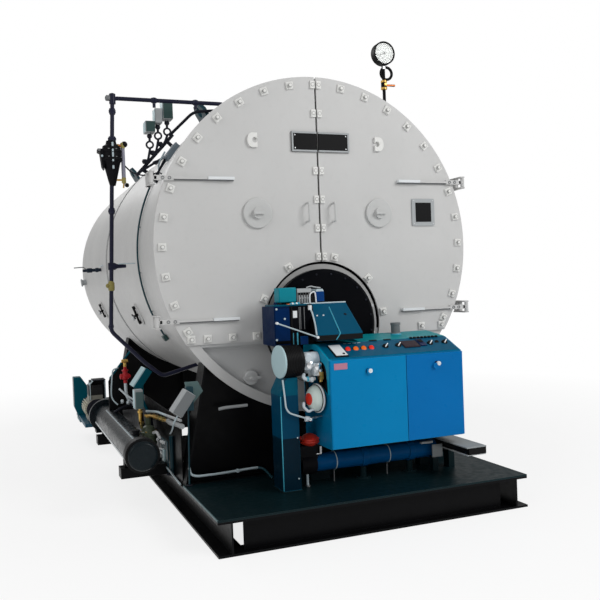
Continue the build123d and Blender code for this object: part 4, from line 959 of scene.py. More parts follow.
def fuel_group():
    # pump castings, brass unions and the small pipes in front of the cut in the cabinet side
    low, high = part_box("fuel_pump")
    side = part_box("cabinet_body")[0].x
    piece = Piece("fuel_fittings", PLANT, "brass", 0.0015)
    y = low.y
    z = high.z
    piece.box((-0.322, y - 0.002, z - 0.096), (-0.268, y + 0.05, z - 0.004), pale_metal)
    piece.lathe((-0.3, y - 0.002, z - 0.03), -Y, ((0.03, 0), (0.03, 0.012), (0.02, 0.02), (0, 0.02)),
            pale_metal, 24)
    piece.lathe((-0.288, y - 0.002, z - 0.07), -Y, ((0.022, 0), (0.022, 0.016), (0.012, 0.022),
                (0, 0.022)), chrome, 20)
    piece.box((-0.272, y - 0.03, z - 0.13), (-0.226, y + 0.03, z - 0.06), pale_metal)
    piece.lathe((-0.25, y - 0.03, z - 0.08), -Y, ((0.02, 0), (0.02, 0.01), (0.012, 0.014),
                (0, 0.014)), chrome, 20)
    for place_z, x in ((z - 0.1, -0.262), (z - 0.12, -0.24)):
        piece.lathe((x, y - 0.03, place_z), -Y, ((0.012, 0), (0.012, 0.008), (0, 0.01)), white_paint,
                16)
    piece.box((-0.246, y - 0.052, z - 0.15), (-0.224, y - 0.026, z - 0.108), brass)
    piece.hexagon((-0.236, y - 0.04, z - 0.152), -Z, 0.01, 0.012, brass)
    piece.hexagon((-0.236, y - 0.04, z - 0.108), Z, 0.009, 0.014, chrome)
    piece.tube(((-0.322, y + 0.002, z - 0.12), (-0.334, y - 0.012, z - 0.132),
                (-0.318, y - 0.016, z - 0.148), (-0.286, y - 0.014, z - 0.15),
                (-0.262, y - 0.01, z - 0.146)), 0.01, pale_metal, 0.02, 12)
    piece.hexagon((-0.29, y - 0.014, z - 0.15), X, 0.016, 0.014, white_paint)
    piece.hexagon((-0.314, y - 0.014, z - 0.146), X, 0.015, 0.012, edge_cyan)
    piece.tube(((-0.448, -0.436, DRUM_Z - 0.768), (-0.441, -0.442, DRUM_Z - 0.86),
                (-0.437, -0.444, DRUM_Z - 0.925), (-0.42, -0.448, DRUM_Z - 0.955),
                (-0.36, -0.45, DRUM_Z - 0.978), (-0.322, -0.45, DRUM_Z - 0.992)), 0.005, edge_pale,
            0.03)
    elbow = Vector((-0.316, -0.45, DRUM_Z - 0.996))
    piece.lathe(elbow, X, ((0, -0.012), (0.014, -0.012), (0.016, 0), (0.012, 0.016), (0, 0.02)),
            pale_metal, 20)
    piece.lathe(elbow + X * 0.022 - Z * 0.006, X, ((0, -0.012), (0.012, -0.01), (0.014, 0),
                (0.01, 0.012), (0, 0.014)), chrome, 18)
    piece.tube((elbow + X * 0.026, elbow + Vector((0.046, 0.006, 0.002)),
                Vector((side, -0.44, DRUM_Z - 0.99))), 0.006, steel, 0.01)
    piece.tube(((-0.33, y, DRUM_Z - 0.905), (-0.338, y - 0.014, DRUM_Z - 0.925),
                (-0.312, y - 0.02, DRUM_Z - 0.955), (-0.29, y - 0.02, DRUM_Z - 0.945),
                (side, y - 0.02, DRUM_Z - 0.94)), 0.008, pale_metal, 0.02, 12)
    piece.tube(((-0.296, y + 0.03, z - 0.12), (-0.296, y + 0.03, DRUM_Z - 0.93)), 0.01, black_plastic,
            0.02, 12)
    piece.done()


def switch_piece():
    # diaphragm switch: spacer, clamp rims, dome and red cap
    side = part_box("cabinet_body")[0].x
    turn = math.radians(9)
    out = Vector((-math.cos(turn), -math.sin(turn), 0))
    z = centre("pressure_switch").z + 0.014
    start = Vector((side, -0.442, z))
    piece = Piece("diaphragm_switch", PLANT, "light_grey_paint", 0.0006)
    piece.lathe(start, out, ((0, -0.012), (0.058, -0.012), (0.058, 0.018), (0.08, 0.02),
                (0.08, 0.026), (0, 0.026)), black_plastic, 56)
    piece.lathe(start + out * 0.026, out, ((0.05, 0), (0.0825, 0), (0.0825, 0.007), (0.078, 0.009),
                (0.05, 0.009)), white_paint, 64)
    piece.lathe(start + out * 0.034, out, ((0.05, 0), (0.0775, 0), (0.0775, 0.005), (0.05, 0.005)),
            black_plastic, 64)
    piece.lathe(start + out * 0.039, out, ((0.0, 0), (0.074, 0), (0.0735, 0.008), (0.067, 0.022),
                (0.055, 0.034), (0.042, 0.041), (0.039, 0.043), (0, 0.043)), dome_pale, 64)
    cap = start + out * 0.082
    piece.lathe(cap, out, ((0.034, -0.001), (0.034, 0.004), (0.03, 0.006), (0.016, 0.007),
                (0, 0.0072)), red_paint, 40)
    for step in range(3):
        angle = math.radians(30 + 120 * step)
        spot = cap + out * 0.007 + Vector((0, 0.014 * math.cos(angle), 0.018 * math.sin(angle)))
        # the small red spots glow faintly, painted light
        piece.lathe(spot, out, ((0.005, -0.002), (0.005, 0.0005), (0, 0.001)), red_lens, 12)
    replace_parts(piece.done(), "pressure_switch")


def blower_piece():
    # narrow sheet housing with a sloped shoulder
    left = -0.462
    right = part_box("blower_housing")[1].x - 0.004
    front = -0.43
    back = -0.27
    top = DRUM_Z - 0.762
    foot = DECK_Z + 0.0003
    slope = 0.08
    piece = Piece("blower_sheet", PLANT, "pipe_blue", 0.003)
    outline = [(left, foot), (right, foot), (right, top), (left + slope * 0.5, top),
            (left, top - slope)]
    piece.prism(outline, Vector((0, back, 0)), X, Z, back - front, blower_blue)
    # a cyan rod up the front left corner, a painted highlight
    piece.rod((left + 0.001, front + 0.001, foot + 0.01), (left + 0.001, front + 0.001,
                top - slope - 0.02), 0.0028, edge_cyan, 8)
    for z in (foot + 0.07, foot + 0.3):
        piece.hexagon((right - 0.014, front, z), -Y, 0.005, 0.004, edge_pale)
    piece.box((left - 0.006, front - 0.006, foot), (right + 0.006, back + 0.006, foot + 0.006),
            deck_paint)
    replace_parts(piece.done(), "blower_housing")


def burner_hardware():
    # bright eye and swing bolt at the right of the burner
    piece = Piece("burner_hinge_eye", PLANT, "plated_steel", 0.0006)
    x = 320
    piece.tube((at(x - 26, -12, -400), at(x - 22, -30, -440), at(x - 6, -34, -500),
                at(x + 2, -30, -560)), 0.007, chrome, 0.05)
    piece.tube((at(x + 10, -12, -392), at(x + 4, -30, -440), at(x + 8, -34, -500),
                at(x + 2, -30, -566)), 0.006, chrome, 0.05)
    piece.lathe(at(x + 4, -34, -570), Z, ((0, -0.016), (0.014, -0.012), (0.016, 0), (0.014, 0.012),
                (0, 0.016)), chrome, 20)
    piece.box(at(x - 34, -10, -402), at(x + 30, 16, -384), steel)
    piece.box(at(x - 10, -22, -600), at(x + 18, 20, -584), steel)
    piece.done()


# Cabinet

def panel_axes():
    # base point at the lower left of the sloped panel, with its axes and length
    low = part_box("control_panel")[0]
    slope_low = Vector((low.x, -0.56, DRUM_Z - 0.664))
    slope_high = Vector((low.x, -0.39, DRUM_Z - 0.59))
    up = (slope_high - slope_low)
    length = up.length
    up.normalize()
    out = X.cross(up)
    return slope_low, up, out, length


def panel_items():
    # white plate, lights, knobs and displays of the sloped panel, and the cover behind it
    base, up, out, length = panel_axes()
    axes = (X, up, out)
    skin = 0.0042
    left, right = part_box("cabinet_body")[0].x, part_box("cabinet_body")[1].x
    wide = right - left
    face = (out - Y * 0.9).normalized()
    piece = Piece("panel_faces", PLANT, "black_plastic", 0.0006)

    def spot(share_x, share_y):
        return base + X * (left + share_x * wide - base.x) + up * length * share_y + out * skin

    white = spot(0.112, 0.46)
    piece.slab(white, axes, ((-0.037, 0.034), (-0.06, 0.066), (0, 0.006)), white_plastic)
    piece.slab(white, axes, ((-0.045, -0.037), (-0.07, 0.062), (0, 0.004)), black_plastic)
    piece.slab(white, axes, ((-0.045, 0.036), (-0.072, -0.06), (0, 0.004)), black_plastic)
    piece.lathe(white + X * 0.014 - up * 0.044 + out * 0.006, out,
            ((0.007, 0), (0.007, 0.003), (0, 0.004)), black_plastic, 16)
    lens = (red_lens, orange_lens, orange_lens, red_lens)
    for share, colour in zip((0.186, 0.244, 0.303, 0.361), lens):
        place = spot(share, 0.52)
        piece.lathe(place - out * 0.004, face, ((0.0185, -0.006), (0.0185, 0.008), (0, 0.008)),
                black_plastic, 28)
        piece.lathe(place - out * 0.004, face, ((0.016, 0.008), (0.0155, 0.011), (0.011, 0.013),
                    (0, 0.0135)), colour, 28)
    for share in (0.47, 0.568, 0.818, 0.935):
        place = spot(share, 0.54)
        piece.lathe(place - out * 0.004, face, ((0.0185, -0.008), (0.0185, 0.008), (0.0155, 0.014),
                    (0, 0.0145)), black_plastic, 32)
        tip = place - out * 0.004 + face * 0.0145
        direction = (face.cross(X).normalized() * -0.72 + X * 0.7).normalized()
        if direction.z < 0:
            direction = (X * 0.7 + face.cross(X).normalized() * 0.72).normalized()
        piece.slab(tip, (direction, face.cross(direction), face),
                ((-0.009, 0.022), (-0.003, 0.003), (-0.001, 0.003)), white_plastic)
    piece.lathe(spot(0.88, 0.6) - out * 0.004, face, ((0.013, -0.006), (0.013, 0.008), (0, 0.009)),
            black_plastic, 24)
    display = spot(0.662, 0.56)
    piece.slab(display, axes, ((-0.052, 0.052), (-0.04, 0.04), (0, 0.005)), burgundy)
    piece.slab(display, axes, ((-0.046, 0.046), (-0.032, 0.032), (0.004, 0.0058)), burgundy)
    dark = spot(0.757, 0.62)
    piece.slab(dark, axes, ((-0.02, 0.02), (-0.042, 0.042), (0, 0.005)), deep_blue)
    piece.slab(dark, axes, ((-0.013, 0.013), (-0.004, 0.03), (0.004, 0.008)), black_plastic)
    for share in (0.42, 0.53):
        piece.slab(spot(share, 0.97), axes, ((-0.024, 0.024), (-0.006, 0.006), (0, 0.003)),
                black_plastic)
    for index in range(8):
        term = spot(0.715 + 0.029 * index, 0.97)
        piece.slab(term, axes, ((-0.008, 0.008), (-0.01, 0.002), (0, 0.008)), black_plastic)
        piece.slab(term, axes, ((-0.008, 0.006), (0.004, 0.008), (0, 0.004)), edge_pale)
    for share in (0.2, 0.235, 0.27, 0.305):
        piece.slab(spot(share, 0.9), axes, ((-0.01, 0.01), (-0.003, 0.003), (0, 0.001)), disc_pale)
    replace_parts(piece.done(), "panel_controls")
    cover = Piece("cabinet_top_cover", PLANT, "hood_teal", 0.0015)
    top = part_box("cabinet_body")[1].z
    points = []
    for x0, x1, rise in ((0.052, 0.632, 0.0), (0.06, 0.624, 1.0)):
        y = -0.384 if rise == 0 else -0.192
        for x in (x0, x1):
            points += [Vector((x, y, top - 0.0004)), Vector((x, y, top + 0.003 + 0.026 * rise))]
    # the cover takes the lighter teal painted for the lit top
    cover.hull(points, top_lit_teal)
    cover.done()


def cabinet_details():
    # pipe stub, door latches with a painted shadow disc beside each knob, label patch, the dark cut in
    # the cabinet side, and a dark plate painted as shade under the cabinet
    body_low, body_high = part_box("cabinet_body")
    stub = Piece("cabinet_pipe_stub", PLANT, "light_grey_paint", 0.001)
    foot = Vector((0.372, -0.25, body_high.z + 0.018))
    stub.lathe(foot, Z, ((0, -0.016), (0.032, -0.016), (0.032, 0.01), (0.028, 0.012), (0.028, 0.058),
                (0.031, 0.06), (0.031, 0.074), (0.022, 0.074), (0.022, 0.05), (0, 0.05)), stub_grey,
            36)
    stub.lathe(foot, Z, ((0.033, -0.006), (0.036, 0.002), (0.033, 0.008)), edge_cyan, 36)
    stub.done()
    for name, body, node, shift, lift in (("latch_left", CABINET_LEFT, "cabinet_left_door", 0.004,
                0.0), ("latch_right", CABINET_RIGHT, "cabinet_right_door", 0.018, 0.01)):
        low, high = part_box(node)
        piece = Piece(name, body, "plated_steel", 0.0006)
        face = -0.578
        mid_x = (low.x + high.x) / 2 + shift
        mid_z = high.z - 0.07 + lift
        # dark blue disc peeking out left of the knob, a painted shadow
        piece.lathe((mid_x - 0.01, face, mid_z), -Y, ((0.014, -0.001), (0.014, 0.002), (0, 0.002)),
                deep_blue, 32)
        piece.lathe((mid_x, low.y, mid_z), -Y, ((0.0125, -0.012), (0.0128, 0.0), (0.0105, 0.003),
                    (0, 0.004)), white_plastic, 32)
        piece.slab(Vector((mid_x, low.y - 0.0035, mid_z)), (X, Z, -Y),
                ((-0.006, 0.006), (-0.001, 0.001), (0, 0.0012)), steel)
        piece.done()
    label = Piece("door_label_left", CABINET_LEFT, "clip_paint", 0.0004)
    label.box(at(-196, -580.5, -720), at(-116, -577.5, -686), pink_paint)
    label.done()
    # black sheets on the cabinet side stand for the cut, painted as the shade inside it
    side = Piece("cabinet_side_cut_shade", PLANT, "cabinet_blue", 0.0004)
    side.lathe(Vector((body_low.x + 0.001, -0.456, DRUM_Z - 0.752)), -X,
            ((0.07, -0.001), (0.07, 0.0025), (0, 0.0025)), black_plastic, 48)
    side.hull([Vector((body_low.x - 0.0015, y, DRUM_Z + z)) for y,
                z in ((-0.44, -0.68), (-0.5, -0.72), (-0.532, -0.78), (-0.538, -0.86), (-0.5, -0.8),
                (-0.44, -0.8))] + [Vector((body_low.x + 0.001, -0.48, DRUM_Z - 0.76))], black_plastic)
    side.done()
    dark = Piece("cabinet_under_shade", PLANT, "cabinet_blue", 0.0004)
    dark.box((body_low.x + 0.004, -0.554, body_low.z - 0.002),
            (body_high.x - 0.004, -0.3, body_low.z + 0.001), black_plastic)
    dark.done()


def gas_line_details():
    # pipe bands, valve parts, support leg and the red regulator
    leg_x = -0.288
    leg_y = -0.352
    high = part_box("gas_pipe")[1]
    mid = centre("gas_pipe")
    radius = 0.052
    piece = Piece("pipe_straps", PLANT, "clip_paint", 0.0004)
    for x in (-0.112, 0.236):
        piece.lathe((x, mid.y, mid.z), X, ((radius + 0.0003, -0.001), (radius + 0.003, -0.001),
                    (radius + 0.003, 0.004), (radius + 0.0003, 0.004), (radius + 0.0003, -0.001)),
                edge_pale, 48)
        piece.box((x - 0.001, mid.y - 0.004, DECK_Z), (x + 0.003, mid.y + 0.004, mid.z - radius),
                ring_grey)
    end = high.x
    piece.lathe((end - 0.03, mid.y, mid.z), X, ((radius, -0.004), (radius + 0.008, 0),
                (radius + 0.008, 0.026), (radius * 0.6, 0.029), (0, 0.029)), pipe_blue, 40)
    piece.done()
    cap_low, cap_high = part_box("gas_regulator")
    x = (cap_low.x + cap_high.x) / 2 + 0.018
    y = (cap_low.y + cap_high.y) / 2 - 0.01
    valve = Piece("valve_details", PLANT, "black_iron", 0.0008)
    for shift in (-0.036, 0.036):
        valve.lathe((-0.28 + shift, mid.y, mid.z), X, ((0.058, -0.006), (0.0595, -0.006),
                    (0.0595, 0.006), (0.058, 0.006)), black_iron, 40)
    valve.box((-0.332, -0.372, mid.z + 0.02), (-0.226, -0.3, cap_low.z + 0.02), black_iron)
    valve.rod((leg_x, leg_y, mid.z + 0.01), (leg_x, leg_y, DECK_Z), 0.0075, edge_pale, 16)
    valve.lathe((leg_x, leg_y, DECK_Z), Z, ((0, 0), (0.018, 0), (0.018, 0.005), (0.009, 0.007)),
            steel, 20)
    valve.rod((x + 0.05, y - 0.045, cap_low.z - 0.03), (x + 0.05, y - 0.045, cap_low.z + 0.012),
            0.006, white_paint, 12)
    valve.rod((x + 0.05, y - 0.045, cap_low.z - 0.03), (x + 0.02, y - 0.02, cap_low.z - 0.035), 0.006,
            steel, 10)
    valve.done()
    cap = Piece("regulator_body", PLANT, "red_paint", 0.001)
    base = cap_low.z - 0.024
    cap.lathe((x, y, base), Z, ((0, 0), (0.024, 0), (0.026, 0.012), (0.024, 0.026), (0.032, 0.04),
                (0.056, 0.056), (0.062, 0.062), (0.062, 0.07), (0.058, 0.071), (0.058, 0.074),
                (0.062, 0.075), (0.062, 0.083), (0.05, 0.088), (0.036, 0.1), (0.02, 0.107),
                (0, 0.11)), red_paint, 40)
    for step in range(8):
        turn = 2 * math.pi * step / 8
        # the bolt heads glow faintly, painted light
        cap.hexagon((x + 0.054 * math.cos(turn), y + 0.054 * math.sin(turn), base + 0.082), Z, 0.005,
                0.006, red_lens)
    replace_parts(cap.done(), "gas_regulator")


# Skid

def skid_details():
    # bolts, bracket, conduit and edge strips of the skid
    piece = Piece("skid_bolts", PLANT, "plated_steel", 0.0006)
    front = -0.75
    half = 0.783
    for x in (-half + 0.05, half - 0.05):
        for z in (0.06, 0.12):
            piece.hexagon((x, front + 0.071, z), -Y, 0.009, 0.007, dark_iron)
    piece.done()
    bracket = Piece("deck_bracket", PLANT, "light_grey_paint", 0.001)
    bracket.box(at(500, -424, -1314), at(570, -416, -1238), bracket_grey)
    bracket.box(at(428, -424, -1226), at(506, -400, -1214), light_grey)
    bracket.box(at(566, -700, -1262), at(690, -300, -1256), light_grey)
    bracket.box(at(574, -700, -1256), at(582, -300, -1214), black_plastic)
    bracket.box(at(574, -704, -1256), at(690, -696, -1218), black_plastic)
    bracket.box(at(560, -704, -1218), at(692, -300, -1211), bracket_grey)
    bracket.box(at(640, -380, -1400), at(680, -320, -1262), deck_paint)
    bracket.box(at(506, -420, -1400), at(540, -380, -1314), deck_paint)
    bracket.done()
    conduit = Piece("deck_conduit", PLANT, "plated_steel", 0.0005)
    conduit.tube((at(-893, 4, -1296), at(-886, 2, -1338), at(-845, 2, -1352), at(-700, 2, -1352),
                at(-520, 2, -1345), at(-470, 2, -1345)), 0.0075, edge_pale, 0.05)
    conduit.tube((at(-470, 2, -1345), at(-440, -20, -1350), at(-420, -120, -1388)), 0.0075, dark_teal,
            0.04)
    conduit.lathe(at(-600, 4, -1348), -Y, ((0.012, 0), (0.012, 0.012), (0, 0.014)), edge_pale, 16)
    conduit.done()
    lip = Piece("saddle_lip", PLANT, "light_grey_paint", 0.0008)
    lip.tube((at(-700, 8, -968), at(-660, 6, -962), at(-520, 6, -960)), 0.0095, light_grey, 0.04)
    lip.done()
    # a lighter strip along the deck plate's left edge, a painted highlight
    edge = Piece("deck_edge", PLANT, "light_grey_paint", 0.0005)
    low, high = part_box("deck_plate")
    edge.box((low.x, low.y + 0.004, high.z - 0.008), (low.x + 0.006, high.y, high.z + 0.0012),
            edge_teal)
    edge.done()
    skirt = Piece("saddle_skirt", PLANT, "black_iron", 0.001)
    skirt.box((-0.914, 0.1, DRUM_Z - 1.41), (-0.906, 3.0, DRUM_Z - 1.02), black_paint)
    skirt.done()


def outrigger_piece():
    # short support brackets under the heater and the pump set
    beam_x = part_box("skid_left_beam")[0].x
    x = centre("oil_heater").x
    z = centre("oil_heater").z
    low = DRUM_Z - 1.405
    piece = Piece("support_arms", PLANT, "black_iron", 0.002)
    for y, left, lift in ((0.43, -1.236, 0.0), (1.5, -1.25, 0.02)):
        foot = low + lift
        high = foot + 0.066
        piece.box((left, y - 0.05, foot), (beam_x - 0.0003, y + 0.05, high), black_paint)
        piece.box((x - 0.055, y - 0.03, high), (x + 0.055, y + 0.03, z - 0.07), black_paint)
    p_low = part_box("pump_set")[0]
    for y in (2.5, 3.16):
        piece.box((-1.15, y - 0.05, p_low.z - 0.06), (beam_x - 0.0003, y + 0.05, p_low.z - 0.0003),
                black_paint)
    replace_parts(piece.done(), "outriggers")


# Fittings on the drum

# from the level control to the gauge glass
SIGHT_SHIFT = 0.07


def level_pipes():
    # slim dark pipes with unions above and below the level control
    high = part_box("water_column_pipes")[1]
    x = centre("float_control").x
    y = centre("float_control").y
    f_low, f_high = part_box("float_control")
    radius = 0.0128
    top = high.z - 0.033
    head_x = -0.455
    shell_top = DRUM_Z + math.sqrt(SHELL_RADIUS ** 2 - head_x ** 2)
    bend_z = DRUM_Z - 0.49

    def lean(z):
        # the column leans a little
        return x - 0.046 * (DRUM_Z + 0.55 - z)

    def column(z):
        return Vector((lean(z), y, z))

    pipes = Piece("level_pipes", PLANT, "black_iron", 0.0006)
    pipes.tube((column(f_high.z - 0.02), column(top), (head_x, y, top),
                (head_x, y, shell_top - 0.01)), radius, pipe_dark, 0.03, 18)
    foot = column(bend_z)
    pipes.tube((column(f_low.z + 0.02), foot, at(-1045, 472, -702), at(-935, 472, -795),
                at(-700, 472, -735)), radius, pipe_dark, 0.03, 18)
    side_z = DRUM_Z - 0.084
    for z in (DRUM_Z + 0.885, DRUM_Z + 0.262):
        hex_band(pipes, column(z), Z, 0.022, 0.04, pipe_dark)
    hex_band(pipes, column(f_high.z + 0.012), Z, 0.026, 0.034, pipe_dark)
    hex_band(pipes, column(bend_z + 0.03), Z, 0.0175, 0.03, pipe_dark)
    for shift in (0.28, 0.55):
        hex_band(pipes, (x + shift, y, top), X, 0.02, 0.036, pipe_dark)
        pipes.rod((x + shift, y, top), (x + shift, y, top - 0.045), 0.01, pipe_dark, 14)
    head = column(top)
    pipes.lathe(head, Z, ((0, -0.036), (0.02, -0.036), (0.02, 0.026), (0.012, 0.03), (0, 0.034)),
            pipe_dark, 20)
    pipes.lathe(head - X * 0.03, X, ((0.008, -0.014), (0.018, -0.01), (0.018, 0.014), (0.01, 0.016)),
            ring_grey, 20)
    side = column(side_z)
    pipes.lathe(side, X, ((0, -0.022), (0.023, -0.02), (0.023, 0.02), (0.014, 0.036), (0.01, 0.09),
                (0, 0.092)), pipe_dark, 24)
    pipes.rod(side + Vector((0.04, -0.012, 0.014)), side + Vector((0.145, -0.02, 0.016)), 0.0035,
            edge_pale, 10)
    brass_spot = column(DRUM_Z - 0.205)
    pipes.lathe(brass_spot, Z, ((0.01, -0.034), (0.0195, -0.028), (0.0205, 0.016), (0.012, 0.03)),
            dull_brass, 20)
    pipes.lathe(brass_spot - X * 0.022 - Y * 0.004, X, ((0.006, -0.012), (0.014, -0.006),
                (0.014, 0.01), (0.008, 0.02)), dull_brass, 20)
    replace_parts(pipes.done(), "water_column_pipes")


def level_control():
    # cast body of the level control with its switch box and copper line
    x = centre("float_control").x
    y = centre("float_control").y
    f_low, f_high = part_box("float_control")
    body = Piece("level_control", PLANT, "black_iron", 0.0008)
    height = f_high.z - f_low.z
    profile = [(0, 0), (0.018, 0), (0.026, 0.03), (0.052, 0.14), (0.06, 0.155), (0.066, 0.158),
            (0.066, 0.17), (0.06, 0.173), (0.059, 0.205), (0.064, 0.208), (0.064, 0.219),
            (0.058, 0.222), (0.054, 0.245), (0.034, 0.258), (0.03, height), (0, height)]
    body.lathe((x, y, f_low.z), Z, profile, black_iron, 40)
    for z in (0.172, 0.22):
        for step in range(8):
            turn = 2 * math.pi * (step + 0.5) / 8
            body.hexagon((x + 0.058 * math.cos(turn), y + 0.058 * math.sin(turn), f_low.z + z), Z,
                    0.006, 0.006, ring_grey)
    box_top = f_low.z + 0.226
    body.prism([(-0.086, 0.0), (-0.05, 0.0), (-0.05, -0.13), (-0.062, -0.11), (-0.072, -0.026),
                (-0.086, -0.02)], Vector((x, y + 0.03, box_top)), X, Z, 0.06, black_iron)
    body.lathe((x - 0.078, y - 0.031, box_top - 0.01), -Y, ((0.008, 0), (0.008, 0.004), (0, 0.005)),
            ring_grey, 14)
    body.lathe((x - 0.062, y - 0.031, box_top - 0.045), -Y, ((0.007, 0), (0.007, 0.004), (0, 0.005)),
            edge_pale, 14)
    for z, size_z in ((0.108, 0.01), (0.15, 0.006), (0.185, 0.014), (0.212, 0.008), (0.25, 0.012)):
        body.box((x - 0.005, y - 0.068, f_low.z + z - size_z),
                (x + 0.005, y - 0.052, f_low.z + z + size_z), edge_pale)
    knob = Vector((x + 0.082, y, f_high.z - 0.018))
    body.rod((x + 0.02, y, f_high.z - 0.03), (x + 0.07, y, f_high.z - 0.026), 0.009, copper, 14)
    body.hexagon((x + 0.034, y, f_high.z - 0.029), X, 0.013, 0.012, brass)
    body.lathe(knob, -Y, ((0, -0.02), (0.014, -0.015), (0.0195, 0), (0.014, 0.015), (0, 0.02)),
            black_plastic, 24)
    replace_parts(body.done(), "float_control")


def sight_glass():
    # gauge glass between its two brass cocks
    x = centre("float_control").x
    y = centre("float_control").y
    tube_y = y - 0.002
    g_low, g_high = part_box("gauge_glass")
    gx = x + SIGHT_SHIFT
    guard = Piece("sight_glass", PLANT, "gauge_glass", 0.0004)
    guard.rod((gx, tube_y, g_low.z + 0.05), (gx, tube_y, g_high.z - 0.03), 0.0125, sight_grey, 24)
    for z in (g_low.z + 0.044, g_high.z - 0.034):
        guard.lathe((gx, tube_y, z), Z, ((0.008, -0.022), (0.0135, -0.018), (0.0135, 0.014),
                    (0.01, 0.018)), dull_brass, 18)
        guard.rod((x + 0.02, tube_y, z), (gx, tube_y, z), 0.006, brass, 12)
    guard.rod((gx, tube_y, g_low.z + 0.03), (gx - 0.004, tube_y, g_low.z - 0.006), 0.005, brass, 12)
    guard.lathe((gx + 0.018, tube_y, g_low.z + 0.012), -Y,
            ((0, -0.012), (0.012, -0.01), (0.014, 0), (0, 0.012)), black_plastic, 16)
    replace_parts(guard.done(), "gauge_glass")


def capillary():
    # thin line from the sight glass to the shell
    gx = centre("float_control").x + SIGHT_SHIFT
    y = centre("float_control").y
    wire = Piece("capillary", PLANT, "black_plastic", 0)
    end, out = around(61, 0.44, SHELL_RADIUS)
    wire.tube((Vector((gx + 0.008, y - 0.01, DRUM_Z + 0.545)),
                Vector((gx + 0.05, 0.47, DRUM_Z + 0.505)), Vector((-1.01, 0.45, DRUM_Z + 0.482)),
                end + out * 0.02, end), 0.0045, dark_iron, 0.06, 8)
    wire.done()


def control_boxes():
    # upright pressure controls on their siphons and manifold
    y = 0.64
    pipes = Piece("control_pipes", PLANT, "black_iron", 0.0005)
    first = Vector((-1.0, y, DRUM_Z + 0.535))
    last = Vector((-0.79, y + 0.02, DRUM_Z + 0.765))
    along = (last - first)
    pipes.tube((first - along * 0.1, first, last, last + along * 0.12), 0.011, dark_iron, 0.03, 12)
    for share in (0.08, 0.92):
        place = first + along * share
        foot, out = around(math.degrees(math.atan2(-place.x, place.z - DRUM_Z)), place.y,
                SHELL_RADIUS)
        pipes.rod(foot - out * 0.01, place, 0.012, dark_iron, 14)
        pipes.lathe(foot, out, ((0.03, -0.004), (0.03, 0.006), (0.018, 0.012)), dark_iron, 20)
    spots = ((-0.925, 0.792, 0.18, 0.062, 0.074), (-0.868, 0.853, 0.44, 0.046, 0.098),
            (-0.806, 0.883, 0.7, 0.066, 0.13))
    boxes = Piece("control_boxes", PLANT, "blue_grey_paint", 0.002)
    for index, (x, z, share, wide, tall) in enumerate(spots):
        foot = first + along * share
        low = DRUM_Z + z
        neck = Vector((x, y, low))
        ring = neck - Z * 0.075
        loop = []
        for step in range(13):
            turn = 2 * math.pi * step / 12 - math.pi / 2
            loop.append(ring + (X * math.cos(turn) + Z * math.sin(turn)) * 0.022 + Y * 0.007 *
                    (step / 6 - 1))
        pipes.tube([foot, Vector((foot.x * 0.4 + x * 0.6, y, foot.z + 0.04))] + loop[:1], 0.008,
                dark_iron, 0.02, 10)
        pipes.tube(loop, 0.0065, dark_iron, 0.01, 8)
        pipes.rod(ring + Z * 0.018, neck + Z * 0.002, 0.008, dark_iron, 12)
        hex_band(pipes, neck - Z * 0.018, Z, 0.017, 0.026, dark_iron)
        hex_band(pipes, foot + Z * 0.03, Z, 0.018, 0.028, dark_iron)
        depth = 0.088
        half = wide / 2
        boxes.box((x - half, y - depth / 2, low), (x + half, y + depth / 2, low + tall), light_grey)
        cover = (box_green, light_grey, box_green)[index]
        boxes.box((x - half + 0.004, y - depth / 2 - 0.004, low + 0.004),
                (x + half, y - depth / 2 + 0.002, low + tall - 0.003), cover)
        boxes.box((x - half - 0.002, y - depth / 2 + 0.006, low + 0.006),
                (x - half + 0.002, y + depth / 2 - 0.006, low + tall - 0.006), disc_pale)
        boxes.lathe((x, y, low - 0.006), Z, ((0, 0), (0.013, 0), (0.013, 0.007), (0, 0.007)), steel,
                16)
    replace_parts(boxes.done(), "pressure_controls")
    a, a_out = around(34, 0.6, SHELL_RADIUS)
    b, b_out = around(52, 0.56, SHELL_RADIUS)
    c, c_out = around(60, 0.52, SHELL_RADIUS)
    pipes.tube((last + Z * 0.02, a + a_out * 0.11, around(27, 0.58, SHELL_RADIUS + 0.045)[0],
                around(23, 0.56, SHELL_RADIUS)[0]), 0.01, dark_iron, 0.04, 12)
    pipes.tube((first, b + b_out * 0.04 - Z * 0.02, around(56, 0.52, SHELL_RADIUS + 0.022)[0],
                around(62, 0.5, SHELL_RADIUS + 0.02)[0], around(64, 0.5, SHELL_RADIUS)[0]), 0.008,
            dark_iron, 0.03, 10)
    pipes.tube((b + b_out * 0.05, around(57, 0.56, SHELL_RADIUS + 0.04)[0], c + c_out * 0.015,
                around(64, 0.52, SHELL_RADIUS)[0]), 0.006, edge_pale, 0.03, 10)
    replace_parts(pipes.done(), "control_manifold")


